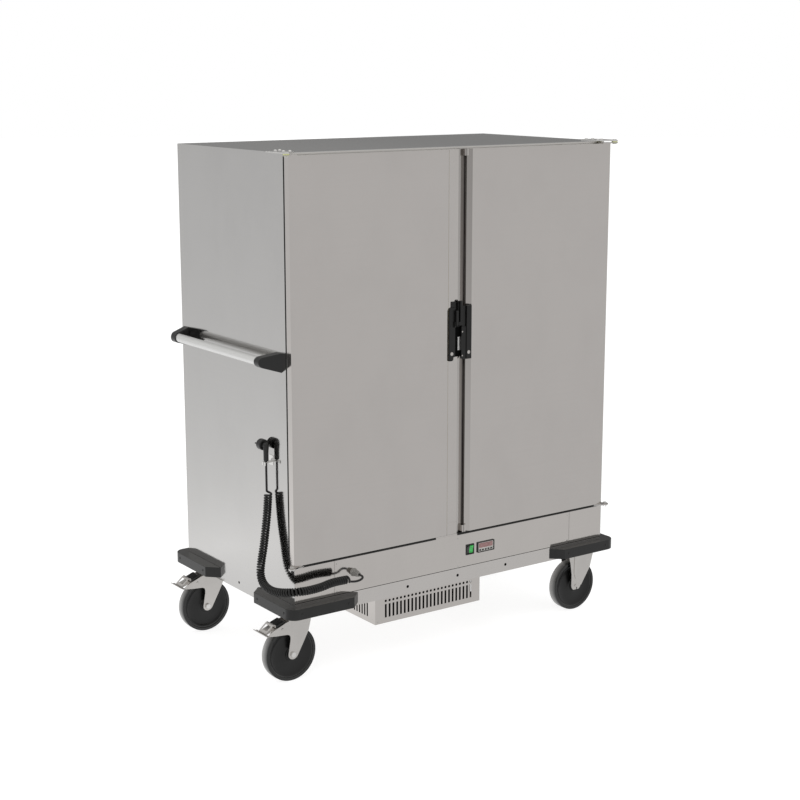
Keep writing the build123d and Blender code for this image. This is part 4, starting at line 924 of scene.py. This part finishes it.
# swivel casters
for end, sx, sy in (("front", 68.0, 84.0), ("rear", 70.0, 706.0)):
    wx = sx - 44.0
    body = "caster_%s_left" % end
    leg = [(wx - 17.5, 104), (wx - 9, 152), (wx - 8.5, 164), (wx - 11, 171), (wx - 19, 175.5), (wx - 64, 179), (wx - 92, 182.5),
           (wx - 96.5, 185), (wx - 96, 189), (wx - 72, 203), (wx - 28, 220.5), (wx - 14, 224), (wx - 14, 230.8), (wx + 75.8, 230.8),
           (wx + 75, 212), (wx + 66, 177), (wx + 50, 146), (wx + 20.0, 92), (wx + 12, 84), (wx + 1, 80.7), (wx - 10, 84), (wx - 17.5, 93)]
    radii = [10, 20, 5, 6, 8, 30, 8, 2.5, 2.5, 20, 10, 3, 0, 0, 12, 30, 30, 8, 10, 12, 10, 8]
    obs = []
    for s in (-1, 1):
        ya, yb = (sy - 28, sy - 25) if s < 0 else (sy + 25, sy + 28)
        obs.append(plate("leg", rounded_outline(leg, radii, 4), [], "xz", ya, yb, 1.2, 3, 40.0))
    crown = rounded_outline([(wx - 14, sy - 27.6), (wx + 76, sy - 27.6), (wx + 76, sy + 27.6), (wx - 14, sy + 27.6)], 2.0)
    obs.append(plate("crown", crown, [], "xy", 227.8, 231.0, 1.0, 2, 40.0))
    obs.append(lathe("race", soft_corner([(8.2, 231.0), (30.0, 231.0), (30.0, 234.2), (27.5, 237.3), (8.2, 237.3)], 1.2, 3), "z", (sx, sy, 0.0), 64, 30.0))
    obs.append(lathe("kingpin", [(0, 236.0), (8.0, 236.0), (8.0, 248.6), (7.2, 249.4), (0, 249.4)], "z", (sx, sy, 0.0), 32, 30.0))
    fork = merge("swivel_fork_" + end, obs)
    dress(fork, "zinc", body, "caster_fork_" + end, slot="zinc_steel")
    obs = []
    for s in (-1, 1):
        y0, y1 = (sy - 34.6, sy - 28.1) if s < 0 else (sy + 28.1, sy + 34.6)
        obs.append(plate("nut", hexagon(wx, 100, 10.3), [], "xz", y0, y1, 0.9, 2, 40.0))
        obs.append(lathe("washer", [(6.0, s * 25.0), (10.0, s * 25.0), (10.0, s * 22.4), (6.0, s * 22.4)], "y", (wx, sy, 100.0), 40, 30.0))
    obs.append(lathe("axle", [(0, -35.0), (5.0, -35.0), (6.0, -34.2), (6.0, 34.2), (5.0, 35.0), (0, 35.0)], "y", (wx, sy, 100.0), 32, 30.0))
    axle = merge("swivel_axle_" + end, obs)
    dress(axle, "bolt", body, "caster_fork_" + end, slot="zinc_steel")

    # brake pedal: tongue, windowed loop, curl, wide lip across the tip and the black pad
    px0 = wx - 40.0
    brake = "brake_" + end
    obs = [lathe("pin", [(0, -31.0), (3.2, -31.0), (4.0, -30.2), (4.0, 30.2), (3.2, 31.0), (0, 31.0)], "y", (px0, sy, 200.0), 24, 30.0)]
    tongue = rounded_outline([(px0 + 6, 196), (px0 + 8, 215.5), (px0 - 20, 208.8), (px0 - 62, 194), (px0 - 64, 190.5), (px0 - 20, 203), (px0 - 6, 196)],
                             [3, 2, 10, 0.8, 0.8, 10, 4], 4)
    obs.append(plate("tongue", tongue, [], "xz", sy - 24.4, sy + 24.4, 0.7, 2, 40.0))
    obs.append(ribbon("curl", [(px0 - 25.5, 209.5), (px0 - 26.4, 217.5), (px0 - 31.5, 221.0), (px0 - 37.0, 218.4), (px0 - 40.5, 215.2)], 2.4, 4.0, "xz", sy - 23.8, sy + 23.8, 0.8))
    for ya, yb in ((sy - 23.8, sy - 18.0), (sy + 18.0, sy + 23.8)):
        obs.append(ribbon("side", [(px0 - 36.0, 219.0), (px0 - 50.0, 207.6), (px0 - 63.5, 195.6)], 2.4, 20.0, "xz", ya, yb, 0.7))
    obs.append(ribbon("foot", [(px0 - 57.5, 200.8), (px0 - 62.5, 196.0), (px0 - 64.0, 192.0)], 2.2, 3.0, "xz", sy - 23.8, sy + 23.8, 0.7))
    obs.append(ribbon("lip", [(px0 - 61.5, 190.6), (px0 - 67.5, 190.4), (px0 - 75.2, 193.6), (px0 - 75.8, 195.4)], 2.3, 4.0, "xz", sy - 43.8, sy + 43.8, 0.8))
    pedal = merge("pedal_steel_" + end, obs)
    dress(pedal, "zinc", brake, "brake_pedal_" + end, slot="zinc_steel")
    padl = rounded_outline([(px0 - 20, 209.4), (px0 - 23.4, 211.6), (px0 - 24, 216), (px0 + 8, 227.4), (px0 + 13.9, 224.5), (px0 + 9, 216.3)], [1, 1, 2, 3, 2.5, 1.5], 4)
    pad = [plate("pad", padl, [], "xz", sy - 23.8, sy + 23.8, 1.0, 3, 40.0)]
    for k in range(5):
        u = 0.12 + 0.17 * k
        x, z = px0 - 23 + 31 * u, 216.6 + 11.0 * u
        pad.append(tube("rib", [P(x, sy - 21, z), P(x, sy + 21, z)], 0.0011, 8))
    dress(merge("pedal_pad_" + end, pad), "black", brake, "brake_pedal_" + end, slot="black_plastic")

# bumpers: moulded corners with an upright face and small rounded rims
bx = rounded_outline([(0.0, 0.0), (260.0, 0.0), (218.0, -42.0), (-42.0, -42.0), (-42.0, 208.0), (0.0, 250.0)], [0, 0, 6, 38, 6, 0], 14)
b1 = plate("bumper_fl", bx, [], "xy", 259.0, 298.0, 1.6, 3, 32.0)
b2 = plate("bumper_rl", [(x, 770.0 - y) for x, y in bx][::-1], [], "xy", 259.0, 298.0, 1.6, 3, 32.0)
b3 = mirror_x(b1, "bumper_fr")
b4 = mirror_x(b2, "bumper_rr")
for ob in (b1, b2, b3, b4):
    dress(ob, "bumper", "cabinet", "corner_bumpers", slot="black_plastic")

# fasteners
dark, bright, plain = [], [], []
for x in (196.0, 6.0, W - 196.0, W - 6.0):
    dark.append(head("s", "cross", "y", -1, (x, -42.0, 279.0), 4.6, 1.4))
    dark.append(head("s", "cross", "y", 1, (x, 812.0, 279.0), 4.6, 1.4))
for y in (186.0, 6.0, 764.0, 584.0):
    dark.append(head("s", "cross", "x", -1, (-42.0, y, 279.0), 4.6, 1.4))
    dark.append(head("s", "cross", "x", 1, (W + 42.0, y, 279.0), 4.6, 1.4))
for x, y in ((7.0, 42.0), (29.0, 38.0), (6.5, 92.5), (29.5, 103.0)):
    for xx in (x, W - x):
        bright.append(head("b", "socket", "z", 1, (xx, y, H + 4.0), 5.8, 4.0))
bright.append(head("c", "cross", "x", -1, (-1.5, 134.0, 789.0), 4.0, 2.0))
for x, z in ((172, 418), (172, 315), (1228, 418), (1228, 318), (700, 415), (700, 310), (345, 168)):
    plain.append(head("r", "dome", "y", -1, (x, 0.0, z), 3.2, 1.2))
for (cx, cy), hx in (((68, 84), 62), ((70, 706), 62), ((1358, 84), 40), ((1358, 709), 40)):
    for ax in (-1, 1):
        for ay in (-1, 1):
            x, y = cx + ax * (hx - 12), cy + ay * 41
            plain.append(plate("n", hexagon(x, y, 6.9), [], "xy", 240.6, 245.0, 0.7, 2, 40.0))
dress(merge("bumper_screws", dark), "black", "cabinet", "fasteners", slot="zinc_steel")
dress(merge("bright_bolts", bright), "bolt", "cabinet", "fasteners", slot="zinc_steel")
dress(merge("rivets_and_nuts", plain), "rivet", "cabinet", "fasteners", slot="zinc_steel")

# gland: flange nut and the ribbed strain relief
gx, gz = 242.8, 374.0
prof = [(4.3, -9.5), (9.0, -9.5), (12.0, -10.2), (12.0, -10.6)]
for k in range(4):
    y0 = -10.6 - 5.95 * k
    ro = 11.8 - 1.1 * k
    prof += [(ro - 4.2, y0 - 0.4), (ro - 4.2, y0 - 2.7), (ro - 0.5, y0 - 3.0), (ro, y0 - 3.4), (ro, y0 - 5.0), (ro - 0.5, y0 - 5.5)]
prof += [(6.0, -34.6), (4.3, -34.6)]
relief = lathe("relief", prof, "y", (gx, 0.0, gz), 40, 30.0)
nut = plate("nut", hexagon(gx, gz, 14.3, 0.0), [], "xz", -7.0, -1.6, 0.8, 2, 40.0)
collar = lathe("collar", [(5.0, -9.9), (10.8, -9.9), (11.9, -9.0), (11.9, -6.9), (5.0, -6.9)], "y", (gx, 0.0, gz), 40, 30.0)
washer = lathe("washer", [(5.0, -1.6), (14.4, -1.6), (15.0, -1.0), (15.0, 0.0), (5.0, 0.0)], "y", (gx, 0.0, gz), 48, 30.0)
barrel = lathe("barrel", [(5.0, 0.0), (8.1, 0.0), (8.1, 13.8), (5.0, 13.8)], "y", (gx, 0.0, gz), 32, 30.0)
lock = plate("lock", hexagon(gx, gz, 12.9, 0.0), [ring(gx, gz, 8.2, 24)], "xz", 1.6, 6.4, 0.5, 2, 40.0)
dress(merge("gland_fitting", [relief, nut, collar, washer, barrel, lock]), "grey", "cabinet", "cable_gland", slot="grey_plastic")

# controller: dark frame, pale face, display window and its lighter rim
cx0, cx1, cz0, cz1 = 789.0, 868.0, 346.0, 386.0


def rect(x0, x1, z0, z1, r=0.0, n=4):
    return rounded_outline([(x0, z0), (x1, z0), (x1, z1), (x0, z1)], r, n)


slots = [rect(802.5 + 13.0 * i - 4.1, 802.5 + 13.0 * i + 4.1, 351.7, 357.3, 0.4, 2)[::-1] for i in range(5)]
win = rect(795.4, 861.6, 361.9, 381.6, 1.0, 3)[::-1]
bez = plate("bezel", rect(cx0 + 0.1, cx1 - 0.1, cz0 + 0.1, cz1 - 0.1, 2.4), [rect(cx0 + 4.2, cx1 - 3.4, cz0 + 3.0, cz1 - 3.0, 1.2)[::-1]], "xz", -4.6, -0.02, 0.55, 3, 40.0)
back = block("case", cx0 + 4, cx1 - 4, 0.2, 58.0, cz0 + 4, cz1 - 4, 1.0)
dress(merge("controller_frame", [bez, back]), "bezel", "cabinet", "controller_case", slot="bezel_plastic")
face = plate("controller_face", rect(cx0 + 3.2, cx1 - 3.2, cz0 + 2.8, cz1 - 2.8, 1.0), [win] + slots, "xz", -2.1, -0.4, 0.15, 1, 40.0)
dress(face, "face", "cabinet", "controller_case", slot="bezel_plastic")
floor_ = plate("controller_back", rect(cx0 + 3.6, cx1 - 3.6, cz0 + 3.2, cz1 - 3.2, 1.0), [], "xz", -0.6, -0.1, 0.1, 1, 40.0)
dress(floor_, "bezel", "cabinet", "controller_case", slot="bezel_plastic")
halo = plate("window_rim", rect(794.6, 862.4, 361.1, 382.4, 1.6), [rect(796.2, 860.8, 362.7, 380.8, 0.8)[::-1]], "xz", -2.45, -1.4, 0.25, 2, 40.0)
dress(halo, "rim", "cabinet", "controller_case", slot="bezel_plastic")

# black sill strips between the base panels and the doors; their front lips are painted shade, a dark strip that
# thickens the shaded gap line
sill = [block("sill", 16.0, 600.4, 1.2, 26.0, 431.6, 436.0, 0.5), block("sill", 697.6, 1384.0, 1.2, 26.0, 431.6, 436.0, 0.5),
        block("lip", 16.0, 600.4, -0.9, 1.6, 429.0, 433.6, 0.4), block("lip", 697.6, 1384.0, -0.9, 1.6, 429.0, 433.6, 0.4)]
dress(merge("sill_strips", sill), "gasket", "cabinet", slot="gasket_rubber")

# painted shade: dark backing behind the groove and behind the three skirt holes
backing = [block("groove", 4.0, W - 4.0, 2.1, 2.9, 299.5, 308.0, 0.2)]
for x in (475.0, 700.0, 925.0):
    backing.append(lathe("disc", [(0, 2.1), (7.8, 2.1), (8.0, 2.3), (8.0, 2.8), (7.8, 2.95), (0, 2.95)], "y", (x, 0.0, 276.0), 32, 30.0))
dress(merge("base_backing", backing), "void", "cabinet", slot="gasket_rubber")

# seal strip in the fold beside the right door's free edge, coloured brown-grey as painted shade of the steel in the
# gap
seal = [block("seal", 734.2, 736.2, 14.5, 20.5, 463.5, 1801.0, 0.3)]
dress(merge("edge_seal", seal), "seal", "door_right", slot="gasket_rubber")
# a strip with the same painted shade at the left door's meeting edge
lip = [block("lip", 720.15, 729.2, 17.5, 23.5, 463.5, 1801.0, 0.4)]
dress(merge("meeting_seal", lip), "seal", "door_left", slot="gasket_rubber")

# bright keeper behind the latch's slot, and around it a near-black plate of painted shade for the recess
keeper = [block("keeper", 691.15, 701.85, -1.1, -0.1, 1116.2, 1164.8, 0.2)]
dress(merge("latch_keeper", keeper), "keeper", "door_left", slot="zinc_steel")
well = plate("latch_recess", rect(680.0, 702.4, 1094.6, 1200.6, 0.4), [rect(690.9, 702.1, 1115.9, 1165.1, 0.3)[::-1]], "xz", -2.45, -2.05, 0.08, 1, 40.0)
dress(well, "void", "door_left", slot="black_plastic")

# outer lip of the seal, in the gap between the doors and the body at both ends
lip = [block("lip", 3.2, 13.4, 28.7, 35.7, 441.0, 1821.0, 0.5), block("lip", W - 13.4, W - 3.2, 28.7, 35.7, 441.0, 1821.0, 0.5)]
dress(merge("end_seals", lip), "gasket", "cabinet", slot="gasket_rubber")

# intake mats behind the grille's front and left slots, near black as painted shade
mat_a = [(338.0, 164.0), (752.0, 164.0), (752.0, 247.0), (338.0, 247.0)]
mats = [plate("mat", rounded_outline(mat_a, 3.0), [], "xz", 9.0, 12.0, 0.8, 2, 40.0),
        plate("mat", rounded_outline([(14.0, 164.0), (470.0, 164.0), (470.0, 247.0), (14.0, 247.0)], 3.0), [], "yz", 341.0, 344.0, 0.8, 2, 40.0)]
dress(merge("intake_mats", mats), "void", "cabinet", slot="gasket_rubber")


# --------------------------------------------------------------------------
# studio
# --------------------------------------------------------------------------
def studio():
    def maths(nt, op, a, b=None):
        n = nt.nodes.new("ShaderNodeMath")
        n.operation = op
        for i, v in enumerate((a, b)):
            if v is None:
                continue
            if hasattr(v, "links"):
                nt.links.new(v, n.inputs[i])
            else:
                n.inputs[i].default_value = v
        return n.outputs["Value"]

    def smooth(nt, v, lo, hi, a, b):
        n = nt.nodes.new("ShaderNodeMapRange")
        n.interpolation_type = "SMOOTHSTEP"
        n.inputs["From Min"].default_value = lo
        n.inputs["From Max"].default_value = hi
        n.inputs["To Min"].default_value = a
        n.inputs["To Max"].default_value = b
        nt.links.new(v, n.inputs["Value"])
        return n.outputs["Result"]

    # surroundings: bright overhead, a darker band behind the carrier just above the horizon
    world = bpy.data.worlds.new("studio")
    scene.world = world
    world.use_nodes = True
    nt = world.node_tree
    nt.nodes.clear()
    out = nt.nodes.new("ShaderNodeOutputWorld")
    tc = nt.nodes.new("ShaderNodeTexCoord")
    sep = nt.nodes.new("ShaderNodeSeparateXYZ")
    nt.links.new(tc.outputs["Generated"], sep.inputs["Vector"])
    z = sep.outputs["Z"]
    to_back = maths(nt, "ADD", maths(nt, "MULTIPLY", sep.outputs["X"], 0.577), maths(nt, "MULTIPLY", sep.outputs["Y"], 0.816))
    dark = smooth(nt, to_back, 0.45, 0.85, 0.0, 1.0)
    low = maths(nt, "ADD", maths(nt, "MULTIPLY", dark, -0.385), 0.64)
    high = smooth(nt, z, 0.35, 0.95, 0.0, 1.0)
    level = maths(nt, "ADD", maths(nt, "MULTIPLY", low, maths(nt, "SUBTRACT", 1.0, high)), maths(nt, "MULTIPLY", high, 0.95))
    soft = nt.nodes.new("ShaderNodeBackground")
    soft.inputs["Color"].default_value = (1.0, 0.995, 0.985, 1)
    nt.links.new(level, soft.inputs["Strength"])
    white = nt.nodes.new("ShaderNodeBackground")
    white.inputs["Color"].default_value = (1, 1, 1, 1)
    white.inputs["Strength"].default_value = 1.0
    lp = nt.nodes.new("ShaderNodeLightPath")
    mix = nt.nodes.new("ShaderNodeMixShader")
    nt.links.new(lp.outputs["Is Camera Ray"], mix.inputs["Fac"])
    nt.links.new(soft.outputs["Background"], mix.inputs[1])
    nt.links.new(white.outputs["Background"], mix.inputs[2])
    nt.links.new(mix.outputs["Shader"], out.inputs["Surface"])

    # floor: a wide pale disc, brighter beside the left wall of the carrier
    me = bpy.data.meshes.new("floor")
    bm = bmesh.new()
    bmesh.ops.create_circle(bm, cap_ends=True, segments=96, radius=40.0)
    bm.to_mesh(me)
    bm.free()
    floor = bpy.data.objects.new("floor", me)
    scene.collection.objects.link(floor)
    fm = bpy.data.materials.new("pale_floor")
    fm.use_nodes = True
    nt = fm.node_tree
    nt.nodes.clear()
    o = nt.nodes.new("ShaderNodeOutputMaterial")
    d = nt.nodes.new("ShaderNodeBsdfDiffuse")
    d.inputs["Color"].default_value = (0.42, 0.42, 0.42, 1)
    tc = nt.nodes.new("ShaderNodeTexCoord")
    dist = nt.nodes.new("ShaderNodeVectorMath")
    dist.operation = "DISTANCE"
    dist.inputs[1].default_value = (-1.3, 1.2, 0.0)
    nt.links.new(tc.outputs["Object"], dist.inputs[0])
    pool = maths(nt, "ADD", maths(nt, "DIVIDE", 0.42, maths(nt, "ADD", maths(nt, "MULTIPLY", dist.outputs["Value"], 0.60), 1.0)), 0.665)
    sep = nt.nodes.new("ShaderNodeSeparateXYZ")
    nt.links.new(tc.outputs["Object"], sep.inputs["Vector"])
    behind = smooth(nt, sep.outputs["Y"], -0.7, 0.5, 0.0, 1.0)
    glow = maths(nt, "ADD", maths(nt, "MULTIPLY", pool, behind), maths(nt, "MULTIPLY", maths(nt, "SUBTRACT", 1.0, behind), 0.69))
    e1 = nt.nodes.new("ShaderNodeEmission")
    nt.links.new(glow, e1.inputs["Strength"])
    e2 = nt.nodes.new("ShaderNodeEmission")
    e2.inputs["Strength"].default_value = 0.80
    add_ = nt.nodes.new("ShaderNodeAddShader")
    nt.links.new(e2.outputs["Emission"], add_.inputs[0])
    nt.links.new(d.outputs["BSDF"], add_.inputs[1])
    lp = nt.nodes.new("ShaderNodeLightPath")
    mixe = nt.nodes.new("ShaderNodeMixShader")
    nt.links.new(lp.outputs["Is Camera Ray"], mixe.inputs["Fac"])
    nt.links.new(e1.outputs["Emission"], mixe.inputs[1])
    nt.links.new(add_.outputs["Shader"], mixe.inputs[2])
    nt.links.new(mixe.outputs["Shader"], o.inputs["Surface"])
    me.materials.append(fm)

    def area(name, loc, target, size, power, color=(1, 1, 1)):
        ld = bpy.data.lights.new(name, "AREA")
        ld.shape = "RECTANGLE"
        ld.size, ld.size_y = size
        ld.energy = power
        ld.color = color
        lo = bpy.data.objects.new(name, ld)
        scene.collection.objects.link(lo)
        lo.location = loc
        lo.visible_glossy = False
        lo.rotation_euler = (Vector(target) - Vector(loc)).to_track_quat("-Z", "Y").to_euler()
        return lo

    area("key", (-4.2, -3.2, 4.6), (0, 0, 0.9), (3.0, 3.0), 60)
    area("fill", (4.5, -3.5, 3.2), (0, 0, 0.9), (3.0, 3.0), 25)
    area("back", (0.5, 4.6, 4.2), (0, 0, 0.9), (4.0, 2.0), 20)


studio()
scene.view_settings.view_transform = "Standard"
scene.view_settings.look = "None"
scene.view_settings.exposure = 0.0
scene.view_settings.gamma = 1.0

print("cord length", cord_len, "path points", len(cord_path))
